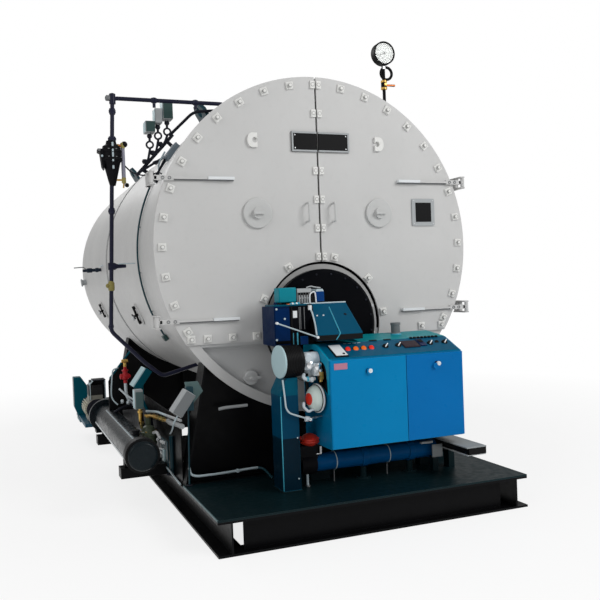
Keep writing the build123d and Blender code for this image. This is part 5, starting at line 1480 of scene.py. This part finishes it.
def conduit_piece():
    # thin conduit round the left of the drum between its junction box and the small lower box
    y = 0.68
    lift = 0.008
    start = 47
    end = 122
    piece = Piece("drum_conduit", PLANT, "blue_grey_paint", 0.001)
    points = [around(start + (end - start) * step / 60, y - 0.09 * max(0, 1 - step / 14),
                SHELL_RADIUS + lift)[0] for step in range(61)]
    piece.tube(points, 0.0062, dark_teal, 0.001, 10)
    foot, out = around(51.5, 0.5, SHELL_RADIUS + 0.0003)
    side = out.cross(Y)
    piece.slab(foot, (Y, side, out), ((-0.052, 0.052), (-0.056, 0.056), (0.0, 0.034)), box_blue)
    piece.slab(foot, (Y, side, out), ((-0.054, 0.054), (-0.058, 0.058), (0.03, 0.038)), box_blue)
    for shift_y in (-0.044, 0.044):
        for shift_s in (-0.046, 0.046):
            piece.lathe(foot + Y * shift_y + side * shift_s + out * 0.038, out,
                    ((0.005, 0), (0.005, 0.003), (0, 0.004)), steel, 12)
    foot, out = around(end + 1, y, SHELL_RADIUS + 0.0003)
    side = out.cross(Y)
    piece.slab(foot, (Y, side, out), ((-0.024, 0.03), (-0.02, 0.02), (0.0, 0.026)), box_green)
    for angle in (64, 80, 97, 112):
        place, out = around(angle, y, SHELL_RADIUS)
        side = out.cross(Y)
        piece.slab(place, (Y, side, out), ((-0.01, 0.01), (-0.003, 0.003), (-0.001, 0.015)),
                dark_teal)
    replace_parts(piece.done(), "conduits")


def drum_details():
    # shell seams, side valve, side stub and handhole yokes
    piece = Piece("shell_seams", PLANT, "grey_paint", 0.0)
    for y, width in ((2.3, 0.005), (2.34, 0.004)):
        piece.lathe((0, y, DRUM_Z), Y, ((SHELL_RADIUS - 0.002, -width),
                    (SHELL_RADIUS + 0.0015, -width / 2), (SHELL_RADIUS + 0.0015, width / 2),
                    (SHELL_RADIUS - 0.002, width)), ring_grey, 160)
    piece.done()
    valve = Piece("side_valve", PLANT, "black_iron", 0.001)
    foot, out = around(92, 2.72, SHELL_RADIUS)
    valve.lathe(foot, out, ((0, -0.01), (0.015, -0.01), (0.015, 0.02), (0.02, 0.022), (0.02, 0.045),
                (0.014, 0.05), (0.014, 0.075), (0.021, 0.08), (0.021, 0.12), (0.014, 0.125),
                (0.012, 0.16), (0, 0.162)), navy_iron, 28)
    valve.tube((foot + out * 0.13 + Z * 0.01, foot + out * 0.15 + Z * 0.032,
                foot + out * 0.235 + Z * 0.03), 0.0045, ring_grey, 0.02)
    valve.tube((foot + out * 0.01 + Z * 0.03, foot - Y * 0.25 + out * 0.012 + Z * 0.03), 0.004,
            edge_pale, 0.02)
    valve.done()
    stub_foot, out = around(97, 4.1, SHELL_RADIUS)
    stub = Piece("side_stub", PLANT, "light_grey_paint", 0.001)
    stub.lathe(stub_foot, out, ((0.03, -0.01), (0.03, 0.035), (0.04, 0.036), (0.04, 0.05), (0, 0.05)),
            light_grey, 28)
    stub.done()
    yokes = Piece("handhole_yokes", PLANT, "black_iron", 0.001)
    for side in (-1, 1):
        for y in (1.3, 3.33):
            turn = math.radians(114)
            out = Vector((side * math.sin(turn), 0, math.cos(turn)))
            cross = out.cross(Y)
            place = Vector((0, y, DRUM_Z)) + out * SHELL_RADIUS
            yokes.lathe(place, out, ((0.085, -0.004), (0.085, 0.003), (0.078, 0.006), (0, 0.006)),
                    shell_paint, 40)
            slant = (cross * 0.93 + Y * 0.36).normalized()
            yokes.slab(place, (slant, out.cross(slant), out), ((-0.075, 0.075), (-0.011, 0.011),
                        (0.012, 0.026)), black_iron)
            for end in (-0.066, 0.066):
                yokes.slab(place + slant * end, (slant, out.cross(slant), out),
                        ((-0.009, 0.009), (-0.01, 0.01), (0.004, 0.016)), black_iron)
            yokes.rod(place, place + out * 0.045, 0.009, black_iron, 14)
            yokes.slab(place + out * 0.04, (out.cross(slant), slant, out),
                    ((-0.04, 0.04), (-0.006, 0.006), (-0.004, 0.006)), dark_iron)
            # the nut is painted white as a highlight on the dark yoke
            yokes.lathe(place + out * 0.04 + cross * 0.012, out,
                    ((0.008, 0), (0.016, 0.003), (0.016, 0.014), (0.01, 0.02), (0, 0.02)),
                    white_paint, 18)
    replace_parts(yokes.done(), "handhole_covers")


def gauge_details():
    # dial with its marks and hand, bezel, pane and cock
    low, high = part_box("pressure_gauge")
    mid = centre("pressure_gauge")
    radius = (high.z - low.z) / 2
    face = low.y + 0.01
    dial = Piece("gauge_dial", PLANT, "white_dial", 0)
    dial.lathe((mid.x, face, mid.z), -Y, ((radius * 0.88, -0.001), (radius * 0.88, 0.001),
                (0, 0.001)), dial_white, 64)
    for index in range(21):
        turn = math.radians(225 - 270 * index / 20)
        out = Vector((math.cos(turn), 0, math.sin(turn)))
        side = Vector((-math.sin(turn), 0, math.cos(turn)))
        long = 0.011 if index % 4 == 0 else 0.006
        dial.slab(Vector((mid.x, face - 0.001, mid.z)), (out, side, out.cross(side)),
                ((radius * 0.8 - long, radius * 0.8), (-0.0009, 0.0009), (-0.001, 0.001)),
                black_plastic)
    turn = math.radians(200)
    out = Vector((math.cos(turn), 0, math.sin(turn)))
    side = Vector((-math.sin(turn), 0, math.cos(turn)))
    dial.slab(Vector((mid.x, face - 0.004, mid.z)), (out, side, out.cross(side)),
            ((-0.012, radius * 0.7), (-0.0018, 0.0018), (-0.001, 0.001)), black_plastic)
    dial.lathe((mid.x, face - 0.001, mid.z), -Y, ((0.007, 0), (0.007, 0.006), (0, 0.007)),
            black_plastic, 20)
    dial.done()
    bezel = Piece("gauge_bezel", PLANT, "black_plastic", 0.0006)
    bezel.lathe((mid.x, low.y, mid.z), -Y, ((radius - 0.004, -0.006), (radius - 0.0005, -0.004),
                (radius - 0.0005, 0.0), (radius - 0.002, 0.003), (radius * 0.9, 0.003),
                (radius * 0.87, -0.004)), black_plastic, 64)
    bezel.done()
    pane = Piece("gauge_pane", PLANT, "gauge_glass", 0)
    pane.lathe((mid.x, low.y + 0.003, mid.z), -Y, ((radius * 0.875, -0.001), (radius * 0.875, 0.0005),
                (0, 0.0015)), glass, 48)
    pane.done()
    stem = Piece("gauge_cock", PLANT, "brass", 0.0006)
    x = mid.x
    y = mid.y
    z = DRUM_Z + 1.12
    stem.lathe((x, y, z), Z, ((0.012, -0.034), (0.022, -0.03), (0.022, -0.018), (0.018, -0.014),
                (0.018, 0.014), (0.022, 0.018), (0.022, 0.03), (0.012, 0.034)), brass, 24)
    stem.rod((x + 0.014, y, z), (x + 0.085, y, z + 0.002), 0.0075, copper, 16)
    stem.lathe((x, y - 0.018, z), -Y, ((0.01, 0), (0.01, 0.01), (0, 0.011)), brass, 18)
    stem.lathe((x, y, low.z - 0.012), Z, ((0.01, -0.016), (0.016, -0.014), (0.016, 0.004),
                (0.01, 0.006)), steel, 6)
    stem.done()


# Heating set on the left

def heater_details():
    # painted highlight lines along the top and the lower left, flanges and bolts of the oil heater
    low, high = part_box("oil_heater")
    x = centre("oil_heater").x
    z = centre("oil_heater").z
    radius = 0.088
    piece = Piece("heater_fittings", PLANT, "black_iron", 0.001)
    piece.lathe((x, low.y + 0.03, z), -Y, ((radius * 0.5, 0.0), (radius * 0.62, 0.008),
                (radius * 0.58, 0.026), (0.02, 0.028), (0.02, 0.0295), (0, 0.0295)), black_plastic,
            40)
    piece.lathe((x, low.y + 0.03, z), Y, ((radius, -0.002), (radius + 0.014, 0),
                (radius + 0.014, 0.07), (radius, 0.074)), black_plastic, 48)
    for step in range(12):
        turn = 2 * math.pi * (step + 0.5) / 12
        piece.hexagon((x + 0.11 * math.cos(turn), high.y - 0.036, z + 0.11 * math.sin(turn)), -Y,
                0.008, 0.008, dark_iron)
    piece.lathe((x, low.y + 0.24, z + radius - 0.004), Z, ((0.02, 0), (0.02, 0.02), (0.024, 0.022),
                (0.024, 0.034), (0, 0.035)), black_iron, 24)
    # a thin pale tube along the top of the barrel, a painted highlight
    piece.tube(((x - 0.03, low.y + 0.14, z + radius * 0.92),
                (x - 0.03, high.y - 0.3, z + radius * 0.92)), 0.006, heater_highlight, 0.01)
    piece.done()
    # a white line along the lower left of the barrel, a painted highlight, not a rail
    highlight_strip = Piece("heater_edge_highlight", PLANT, "light_grey_paint", 0.0006)
    turn = math.radians(205)
    edge = Vector((math.cos(turn), 0, math.sin(turn)))
    highlight_line = Vector((x, 0, z)) + edge * (radius + 0.003)
    highlight_strip.tube((highlight_line + Y * (low.y + 0.1), highlight_line + Y * (high.y - 0.06)), 0.006, white_paint, 0.01)
    highlight_strip.done()


def motor_details():
    # motor fins, terminal box frame and belt guard
    x = centre("belt_guard").x
    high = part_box("pump_set")[1]
    arm_top = 0.1803
    base_plate = 0.03
    shaft_height = 0.112
    axis_z = arm_top + base_plate + shaft_height
    piece = Piece("motor_fins", PLANT, "light_grey_paint", 0.0)
    radius = 0.086
    for step in range(30):
        turn = 2 * math.pi * step / 30
        out = Vector((math.cos(turn), 0, math.sin(turn)))
        if out.z > 0.6 or out.z < -0.7:
            continue
        piece.slab(Vector((x, 2.5, axis_z)), (out, Y, out.cross(Y)),
                ((radius - 0.004, radius + 0.016), (0, 0.31), (-0.0034, 0.0034)), fin_cream)
    for y in (2.47, 2.82):
        piece.lathe((x, y, axis_z), Y, ((0.03, -0.012), (radius * 0.9, -0.01), (radius + 0.004, 0),
                    (radius + 0.004, 0.018), (radius, 0.026)), dark_iron, 40)
    top = high.z + 0.04
    wall = 0.007
    x0, x1, y0, y1 = x - 0.05, x + 0.088, 2.545, 2.69
    piece.hull([Vector((x0 + dx, y, z)) for dx, z in ((0, top - 0.17), (wall, top - 0.17),
                (0, top - 0.03), (wall, top - 0.03)) for y in (y0, y1)], edge_pale)
    piece.hull([Vector((x0 + dx, y, z)) for dx, z in ((0, top - 0.03), (wall, top - 0.03),
                (0.028, top), (0.034, top)) for y in (y0, y1)], edge_pale)
    piece.box((x1 - wall, y0, top - 0.17), (x1, y1, top), edge_pale)
    piece.box((x0 + 0.028, y0, top), (x1, y1, top + 0.007), dark_iron)
    piece.box((x0 + wall, y0 + 0.05, top - 0.17), (x1 - wall, y1, top - 0.004), black_plastic)
    piece.done()
    g_low, g_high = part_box("belt_guard")
    guard = Piece("guard_sheet", PLANT, "hood_teal", 0.003)
    left = g_low.x - 0.026
    right = g_low.x + 0.096
    foot = g_low.z - 0.018
    outline = [(left, foot + 0.09), (left + 0.035, foot), (right, foot), (right, g_high.z - 0.085),
            (right - 0.055, g_high.z), (left, g_high.z)]
    guard.prism(outline, Vector((0, g_high.y, 0)), X, Z, g_high.y - g_low.y, guard_teal)
    guard.box((left - 0.001, g_low.y + 0.006, foot + 0.095),
            (left + 0.001, g_high.y - 0.006, g_high.z - 0.006), dark_teal)
    guard.box((left + 0.03, g_low.y - 0.16, foot - 0.03), (g_high.x, g_high.y - 0.01, foot + 0.001),
            guard_teal)
    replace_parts(guard.done(), "belt_guard")


# degrees that the boxes lean over
BOX_TILT = 36


def tilted_axes():
    # across and along a box that leans over
    angle = math.radians(BOX_TILT)
    return (Vector((math.cos(angle), 0, -math.sin(angle))),
            Vector((math.sin(angle), 0, math.cos(angle))))


def thermostat_piece():
    # thermostat box on its brass well
    piece = Piece("thermostat_box", PLANT, "light_grey_paint", 0.002)
    x = -1.074
    y = 0.62
    base = DRUM_Z - 1.012
    piece.box((x - 0.027, y - 0.035, base), (x + 0.027, y + 0.035, base + 0.125), light_grey)
    piece.box((x - 0.022, y - 0.039, base + 0.003), (x + 0.028, y - 0.033, base + 0.112), grey_teal)
    piece.box((x - 0.029, y - 0.03, base + 0.004), (x - 0.025, y + 0.03, base + 0.121), disc_pale)
    piece.rod((x + 0.01, y, base + 0.002), (x + 0.01, y, DRUM_Z - 1.1), 0.01, brass, 14)
    piece.hexagon((x + 0.01, y, base - 0.03), Z, 0.017, 0.016, brass)
    piece.tube(((x + 0.01, y, DRUM_Z - 1.09), (x + 0.012, y + 0.02, DRUM_Z - 1.115),
                (x + 0.04, y + 0.09, DRUM_Z - 1.125)), 0.01, brass, 0.02, 12)
    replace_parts(piece.done(), "thermostat")


def tilted_box():
    # tilted junction box on a thin post
    box_foot_y = 0.93
    box = Piece("tilted_box", PLANT, "hood_teal", 0.0015)
    middle = Vector((-1.01, 0.9, DRUM_Z - 0.848))
    side_x, side_z = tilted_axes()
    box.slab(middle, (side_x, Y, side_z), ((-0.018, 0.022), (-0.07, 0.07), (-0.07, 0.076)), dark_teal)
    box.slab(middle, (side_x, Y, side_z), ((-0.026, -0.017), (-0.074, 0.074), (-0.072, 0.078)),
            disc_pale)
    box.slab(middle, (side_x, Y, side_z), ((-0.018, 0.03), (-0.078, -0.07), (-0.066, 0.082)),
            guard_teal)
    box.hull([middle - side_z * 0.06 - side_x * 0.02, middle + side_x * 0.03,
                middle - Z * 0.16 + X * 0.02, middle - Z * 0.14 - X * 0.02,
                middle - side_z * 0.06 - side_x * 0.02 + Y * 0.01, middle + side_x * 0.03 + Y * 0.01,
                middle - Z * 0.16 + X * 0.02 + Y * 0.01], guard_teal)
    box.rod(middle - Z * 0.12, Vector((-0.945, box_foot_y, DRUM_Z - 1.12)), 0.01, guard_teal)
    box.rod(Vector((-0.945, box_foot_y, DRUM_Z - 1.12)), Vector((-0.92, box_foot_y, DRUM_Z - 1.4)),
            0.014, dark_iron)
    box.done()


def back_panel():
    # dark plate with a slanted edge behind the oil heater
    panel_y = 1.33
    panel = Piece("back_panel", PLANT, "black_iron", 0.001)
    panel.prism([(-1.17, -1.12), (-0.93, -1.12), (-0.93, -0.7), (-0.99, -0.68), (-1.15, -0.86),
                (-1.17, -0.9)], Vector((0, 1.34, DRUM_Z)), X, Z, 0.012, black_plastic)
    panel.rod((-1.16, panel_y, DRUM_Z - 0.88), (-0.99, panel_y, DRUM_Z - 0.67), 0.007, guard_teal)
    panel.rod((-1.15, panel_y, DRUM_Z - 1.11), (-0.94, panel_y, DRUM_Z - 1.4), 0.014, black_iron)
    panel.rod((-0.95, 1.335, DRUM_Z - 1.1), (-0.91, 1.335, DRUM_Z - 1.41), 0.016, black_iron)
    panel.done()


def red_valve():
    # red valve with its brass top and the thin pipes round it
    valve_y = 1.18
    valve = Piece("red_valve", PLANT, "red_paint", 0.001)
    place = Vector((-1.068, valve_y, DRUM_Z - 0.842))
    valve.lathe(place, Z, ((0, -0.062), (0.014, -0.062), (0.014, -0.04), (0.027, -0.03),
                (0.03, -0.01), (0.02, 0.004), (0.015, 0.02), (0.023, 0.025), (0.023, 0.034),
                (0.012, 0.037), (0.012, 0.055), (0, 0.056)), dark_red, 28)
    valve.lathe(place + Vector((-0.025, 0, -0.014)), -X, ((0.018, -0.015), (0.02, 0.008),
                (0.012, 0.014), (0, 0.016)), dark_red, 24)
    valve.lathe(place + Vector((0.02, -0.012, -0.01)), -Y,
            ((0.016, -0.01), (0.016, 0.012), (0, 0.014)), dark_red, 20)
    valve.hexagon(place + Z * 0.056, Z, 0.011, 0.03, brass)
    valve.lathe(place + Z * 0.098, X, ((0, -0.024), (0.011, -0.024), (0.013, 0), (0.011, 0.022),
                (0, 0.024)), brass, 16)
    valve.tube((place - Z * 0.055, place - Z * 0.15, Vector((-1.03, valve_y, DRUM_Z - 1.06)),
                Vector((-0.955, valve_y, DRUM_Z - 1.07))), 0.011, pale_metal, 0.04, 12)
    valve.tube((Vector((-1.03, valve_y, DRUM_Z - 1.06)), Vector((-1.1, valve_y, DRUM_Z - 1.08)),
                Vector((-1.155, 1.19, DRUM_Z - 1.112))), 0.012, dark_iron, 0.03, 12)
    valve.tube((place + Vector((-0.045, 0.02, 0.05)), place + Vector((-0.085, 0.02, 0.04)),
                place + Vector((-0.1, 0.02, -0.1)), place + Vector((-0.1, 0.02, -0.17)),
                place + Vector((-0.06, 0.0, -0.215))), 0.005, edge_pale, 0.03, 10)
    valve.tube((place + Vector((-0.045, 0.01, -0.1)), place + Vector((0.0, -0.02, -0.15)),
                place + Vector((0.06, -0.05, -0.19)), place + Vector((0.1, -0.06, -0.24))), 0.007,
            pale_metal, 0.03, 10)
    for shift in (-0.03, 0.01, 0.05):
        hex_band(valve, place + Vector((shift, -0.01, -0.2 - shift * 0.3)), X, 0.016, 0.02,
                pale_metal)
    valve.done()


def strainer_details():
    # strainer with its brass fittings and the small pipes beside it
    x = -0.99
    y = 0.76
    base = DRUM_Z - 1.386
    top = DRUM_Z - 1.092
    body = Piece("strainer_body", PLANT, "brass", 0.0008)
    body.lathe((x, y, base), Z, ((0, 0), (0.046, 0), (0.05, 0.01), (0.05, 0.03), (0.053, 0.032),
                (0.053, 0.044), (0.05, 0.048), (0.05, 0.17), (0.056, 0.174), (0.056, 0.192),
                (0.048, 0.196), (0.036, 0.225), (0.018, 0.235), (0.018, top - base), (0, top - base)),
            olive, 40)
    for step in range(6):
        turn = 2 * math.pi * step / 6
        body.hexagon((x + 0.049 * math.cos(turn), y + 0.049 * math.sin(turn), base + 0.191), Z, 0.007,
                0.008, brass)
    body.rod((x, y, base), (-0.925, y, base - 0.014), 0.01, dark_iron, 12)
    body.box((-0.965, y - 0.03, base - 0.02), (-0.915, y + 0.03, base + 0.002), dark_iron)
    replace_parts(body.done(), "strainer")
    piece = Piece("strainer_fittings", PLANT, "brass", 0.0008)
    piece.lathe((x, y, top - 0.03), Z, ((0.018, 0), (0.018, 0.03), (0.024, 0.032), (0.024, 0.044),
                (0, 0.044)), brass, 6)
    piece.tube(((x - 0.01, y - 0.01, top), (x + 0.01, y - 0.05, top + 0.01),
                (x + 0.04, y - 0.2, top + 0.012), (x + 0.07, y - 0.34, top + 0.012)), 0.01, brass,
            0.04, 12)
    for reach in (0.08, 0.13, 0.19, 0.24):
        piece.hexagon((x + 0.01 + reach * 0.18, y - reach, top + 0.012), -Y, 0.016, 0.02,
                (brass, dull_brass)[reach > 0.15])
    piece.tube(((x - 0.05, y - 0.03, top - 0.07), (x - 0.062, y - 0.04, top - 0.01),
                (x - 0.06, y - 0.02, top + 0.05)), 0.009, dull_brass, 0.02, 12)
    piece.done()
    pipes = Piece("side_pipes", PLANT, "light_grey_paint", 0.0006)
    pipes.tube(((x - 0.02, y - 0.06, top + 0.045), (x + 0.03, y - 0.16, top + 0.052),
                (-0.945, 0.33, top + 0.062)), 0.008, edge_pale, 0.05, 12)
    pipes.tube(((x + 0.07, y - 0.33, top + 0.012), (-0.93, 0.28, top + 0.02),
                (-0.918, 0.18, top + 0.03), (-0.915, 0.05, top + 0.035)), 0.016, light_grey, 0.05, 14)
    pipes.tube(((-0.945, 0.33, top + 0.062), (-0.93, 0.2, top + 0.064), (-0.92, 0.06, top + 0.07)),
            0.009, light_grey, 0.05, 12)
    lows = ((x + 0.02, y - 0.04, base + 0.185), (x + 0.035, y - 0.1, base + 0.205),
            (x + 0.045, y - 0.16, base + 0.17), (-0.955, y - 0.24, base + 0.16),
            (-0.945, y - 0.34, base + 0.168))
    pipes.tube(lows, 0.01, white_paint, 0.03, 12)
    pipes.tube(((x + 0.05, y - 0.07, base + 0.13), (-0.965, y - 0.17, base + 0.105),
                (-0.95, y - 0.26, base + 0.085)), 0.007, white_paint, 0.04, 10)
    pipes.tube(((x + 0.05, y - 0.1, base + 0.09), (-0.96, y - 0.19, base + 0.11),
                (-0.945, y - 0.3, base + 0.12)), 0.006, white_paint, 0.04, 10)
    for shift in (0.0, 0.05, 0.1, 0.15):
        hex_band(pipes, (-0.958 + shift * 0.1, y - 0.17 - shift, base + 0.163), Y, 0.015, 0.016,
                (white_paint, navy_iron)[int(shift * 20) % 2])
    pipes.box((-0.955, 0.43, DRUM_Z - 1.345), (-0.947, 0.485, DRUM_Z - 1.265), disc_pale)
    pipes.box((-0.947, 0.36, DRUM_Z - 1.4), (-0.94, 0.56, DRUM_Z - 1.2), dark_teal)
    pipes.rod((-0.952, 0.42, DRUM_Z - 1.36), (-0.938, 0.06, DRUM_Z - 1.4), 0.006, edge_pale, 12)
    pipes.done()


def side_box_piece():
    # tilted control box on a bracket beside the front saddle, with its conduit
    post_x = -0.925
    post_y = 0.33
    side_x, side_z = tilted_axes()
    middle = Vector((-0.928, -0.035, DRUM_Z - 0.905))
    axes = (side_x, Y, side_z)
    piece = Piece("side_control_box", PLANT, "light_grey_paint", 0.002)
    piece.slab(middle, axes, ((-0.032, 0.032), (-0.045, 0.045), (-0.076, 0.076)), light_grey)
    piece.slab(middle, axes, ((-0.028, 0.034), (-0.049, -0.043), (-0.072, 0.074)), stub_grey)
    piece.slab(middle, axes, ((-0.035, -0.03), (-0.04, 0.04), (-0.072, 0.072)), light_grey)
    piece.box((-0.9, -0.03, DRUM_Z - 0.955), (-0.858, 0.01, DRUM_Z - 0.815), dark_teal)
    piece.prism([(-0.9, -0.79), (-0.82, -0.79), (-0.79, -0.85), (-0.87, -0.94)],
            Vector((0, 0.014, DRUM_Z)), X, Z, 0.006, grey_teal)
    piece.rod((-0.89, -0.02, DRUM_Z - 0.95), (-0.897, -0.004, DRUM_Z - 1.398), 0.005, dark_teal, 14)
    piece.lathe((-0.897, -0.004, DECK_Z), Z, ((0, 0), (0.02, 0), (0.02, 0.006), (0.01, 0.009)),
            dark_iron, 20)
    piece.tube(((-0.948, -0.02, DRUM_Z - 0.97), (-0.968, 0.02, DRUM_Z - 1.02),
                (-0.962, 0.12, DRUM_Z - 1.09), (-0.945, 0.26, DRUM_Z - 1.13)), 0.005, edge_pale, 0.04,
            10)
    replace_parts(piece.done(), "side_controls")
    post = Piece("stanchion", PLANT, "hood_teal", 0.001)
    post.rod((post_x, post_y, DECK_Z), (post_x, post_y, DRUM_Z - 1.16), 0.014, dark_teal, 16)
    post.lathe((post_x, post_y, DECK_Z), Z, ((0, 0), (0.04, 0), (0.04, 0.006), (0.02, 0.01)),
            dark_iron, 24)
    post.done()


# Rear and top

def rear_details():
    # bolts and lifting handles of the rear cover
    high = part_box("rear_head")[1]
    piece = Piece("rear_cover_bolts", PLANT, "plated_steel", 0.0008)
    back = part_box("boiler_shell")[1].y
    piece.lathe((0, back, DRUM_Z), Y, ((0.64, -0.002), (0.7, -0.002), (0.7, 0.018), (0.64, 0.018)),
            shell_paint, 96)
    for step in range(28):
        turn = 2 * math.pi * step / 28
        piece.hexagon((0.672 * math.cos(turn), back + 0.018, DRUM_Z + 0.672 * math.sin(turn)), Y,
                0.016, 0.016, steel)
    for x in (-0.25, 0.25):
        piece.tube(((x - 0.07, high.y - 0.012, DRUM_Z + 0.1),
                    (x - 0.07, high.y - 0.0085, DRUM_Z + 0.16), (x + 0.07, high.y - 0.0085,
                    DRUM_Z + 0.16), (x + 0.07, high.y - 0.012, DRUM_Z + 0.1)), 0.008, steel, 0.03)
    piece.done()


def top_details():
    # gasket ring of the steam nozzle
    piece = Piece("nozzle_gasket", PLANT, "black_iron", 0.0008)
    piece.lathe((0, 2.05, DRUM_Z + SHELL_RADIUS), Z, ((0.084, 0.0), (0.1, 0.002), (0.092, 0.012),
                (0.084, 0.014)), black_iron, 48)
    piece.lathe((0, 3.96, DRUM_Z + SHELL_RADIUS - 0.02), Z,
            ((0.23, 0.0), (0.246, 0.004), (0.236, 0.016), (0.23, 0.018)), black_iron, 64)
    piece.done()


# Stage

# name, place, target, side, power
LAMPS = (
    ("key", (5.5, -7.0, 6.5), (0, 0, 1.2), 4.0, 440),
    ("fill", (-7.5, -3.0, 5.0), (0, 1.5, 1.0), 4.0, 100),
    ("rim", (-3.0, 8.5, 6.0), (0, 2.5, 1.5), 3.0, 160),
)
WORLD_LIGHT = 0.42
FLOOR_RADIUS = 40
FLOOR_PLACE = (0, 2, -0.0005)
FADE_START = 2.6
FADE_END = 5.5
FADE_WHITE = 0.8
# camera angles in degrees, place in metres, lens in millimetres
CAMERA_AZIMUTH = -21.455
CAMERA_PITCH = 1.06
CAMERA_ROLL = -2.159
CAMERA_PLACE = (-1.8921, -4.4216, 1.3401)
SENSOR_WIDTH = 36
LENS = 45.9
CLIP_END = 200

def studio_floor():
    # white floor that keeps the shadow and fades to the background
    floor_mesh = bmesh.new()
    bmesh.ops.create_circle(floor_mesh, cap_ends=True, segments=96, radius=FLOOR_RADIUS)
    data = bpy.data.meshes.new("floor")
    floor_mesh.to_mesh(data)
    floor_mesh.free()
    floor = bpy.data.objects.new("floor", data)
    floor.location = FLOOR_PLACE
    bpy.context.scene.collection.objects.link(floor)
    material = bpy.data.materials.new("studio_floor")
    material.use_nodes = True
    tree = material.node_tree
    tree.nodes.clear()
    output = tree.nodes.new("ShaderNodeOutputMaterial")
    diffuse = tree.nodes.new("ShaderNodeBsdfDiffuse")
    diffuse.inputs["Color"].default_value = (0.9, 0.9, 0.9, 1)
    white = tree.nodes.new("ShaderNodeEmission")
    white.inputs["Strength"].default_value = 1.0
    rays = tree.nodes.new("ShaderNodeLightPath")
    seen = tree.nodes.new("ShaderNodeMath")
    seen.operation = "MAXIMUM"
    tree.links.new(rays.outputs["Is Camera Ray"], seen.inputs[0])
    tree.links.new(rays.outputs["Is Glossy Ray"], seen.inputs[1])
    coords = tree.nodes.new("ShaderNodeTexCoord")
    length = tree.nodes.new("ShaderNodeVectorMath")
    length.operation = "LENGTH"
    tree.links.new(coords.outputs["Object"], length.inputs[0])
    fade = tree.nodes.new("ShaderNodeMapRange")
    fade.inputs["From Min"].default_value = FADE_START
    fade.inputs["From Max"].default_value = FADE_END
    fade.inputs["To Min"].default_value = FADE_WHITE
    fade.inputs["To Max"].default_value = 1.0
    tree.links.new(length.outputs["Value"], fade.inputs["Value"])
    amount = tree.nodes.new("ShaderNodeMath")
    amount.operation = "MULTIPLY"
    tree.links.new(seen.outputs[0], amount.inputs[0])
    tree.links.new(fade.outputs[0], amount.inputs[1])
    mix = tree.nodes.new("ShaderNodeMixShader")
    tree.links.new(amount.outputs[0], mix.inputs[0])
    tree.links.new(diffuse.outputs[0], mix.inputs[1])
    tree.links.new(white.outputs[0], mix.inputs[2])
    tree.links.new(mix.outputs[0], output.inputs["Surface"])
    data.materials.append(material)


def studio_light():
    # soft world that shows as white, and the lamps
    world = bpy.data.worlds.new("studio")
    bpy.context.scene.world = world
    world.use_nodes = True
    tree = world.node_tree
    tree.nodes.clear()
    output = tree.nodes.new("ShaderNodeOutputWorld")
    soft = tree.nodes.new("ShaderNodeBackground")
    soft.inputs["Color"].default_value = (1, 1, 1, 1)
    soft.inputs["Strength"].default_value = WORLD_LIGHT
    white = tree.nodes.new("ShaderNodeBackground")
    white.inputs["Color"].default_value = (1, 1, 1, 1)
    white.inputs["Strength"].default_value = 1.0
    rays = tree.nodes.new("ShaderNodeLightPath")
    seen = tree.nodes.new("ShaderNodeMath")
    seen.operation = "MAXIMUM"
    tree.links.new(rays.outputs["Is Camera Ray"], seen.inputs[0])
    tree.links.new(rays.outputs["Is Transmission Ray"], seen.inputs[1])
    mix = tree.nodes.new("ShaderNodeMixShader")
    tree.links.new(seen.outputs[0], mix.inputs[0])
    tree.links.new(soft.outputs[0], mix.inputs[1])
    tree.links.new(white.outputs[0], mix.inputs[2])
    tree.links.new(mix.outputs[0], output.inputs["Surface"])

    for values in LAMPS:
        lamp(*values)


def lamp(name, place, target, side, power):
    """Square lamp that looks at a target."""
    data = bpy.data.lights.new(name, "AREA")
    data.shape = "SQUARE"
    data.size = side
    data.energy = power
    light = bpy.data.objects.new(name, data)
    light.location = place
    light.rotation_euler = (Vector(place) - Vector(target)).to_track_quat("Z", "Y").to_euler()
    bpy.context.scene.collection.objects.link(light)


def camera():
    # camera solved from the photograph
    azimuth = math.radians(CAMERA_AZIMUTH)
    pitch = math.radians(CAMERA_PITCH)
    roll = math.radians(CAMERA_ROLL)
    forward = Vector((-math.sin(azimuth) * math.cos(pitch), math.cos(azimuth) * math.cos(pitch),
                -math.sin(pitch)))
    right = Vector((math.cos(azimuth), math.sin(azimuth), 0))
    up = right.cross(forward)
    turned_right = right * math.cos(roll) + up * math.sin(roll)
    turned_up = up * math.cos(roll) - right * math.sin(roll)
    data = bpy.data.cameras.new("camera")
    data.sensor_width = SENSOR_WIDTH
    data.lens = LENS
    data.clip_end = CLIP_END
    view = bpy.data.objects.new("camera", data)
    turn = Matrix((turned_right, turned_up, -forward)).transposed().to_4x4()
    view.matrix_world = Matrix.Translation(CAMERA_PLACE) @ turn
    bpy.context.scene.collection.objects.link(view)
    bpy.context.scene.camera = view


camera()
studio_floor()
studio_light()
dress_nodes()
nameplate_frames()
data_plate_face()
door_details()
clip_rings()
door_linings()
tube_ends()
sleeve_band()
drum_piece()
hood_piece()
burner_rods()
top_boxes()
filter_piece()
fuel_group()
switch_piece()
blower_piece()
burner_hardware()
panel_items()
cabinet_details()
gas_line_details()
skid_details()
level_pipes()
level_control()
sight_glass()
capillary()
control_boxes()
conduit_piece()
drum_details()
gauge_details()
heater_details()
motor_details()
thermostat_piece()
tilted_box()
back_panel()
red_valve()
strainer_details()
side_box_piece()
outrigger_piece()
rear_details()
top_details()

bpy.context.scene.view_settings.view_transform = "Standard"
bpy.context.view_layer.update()
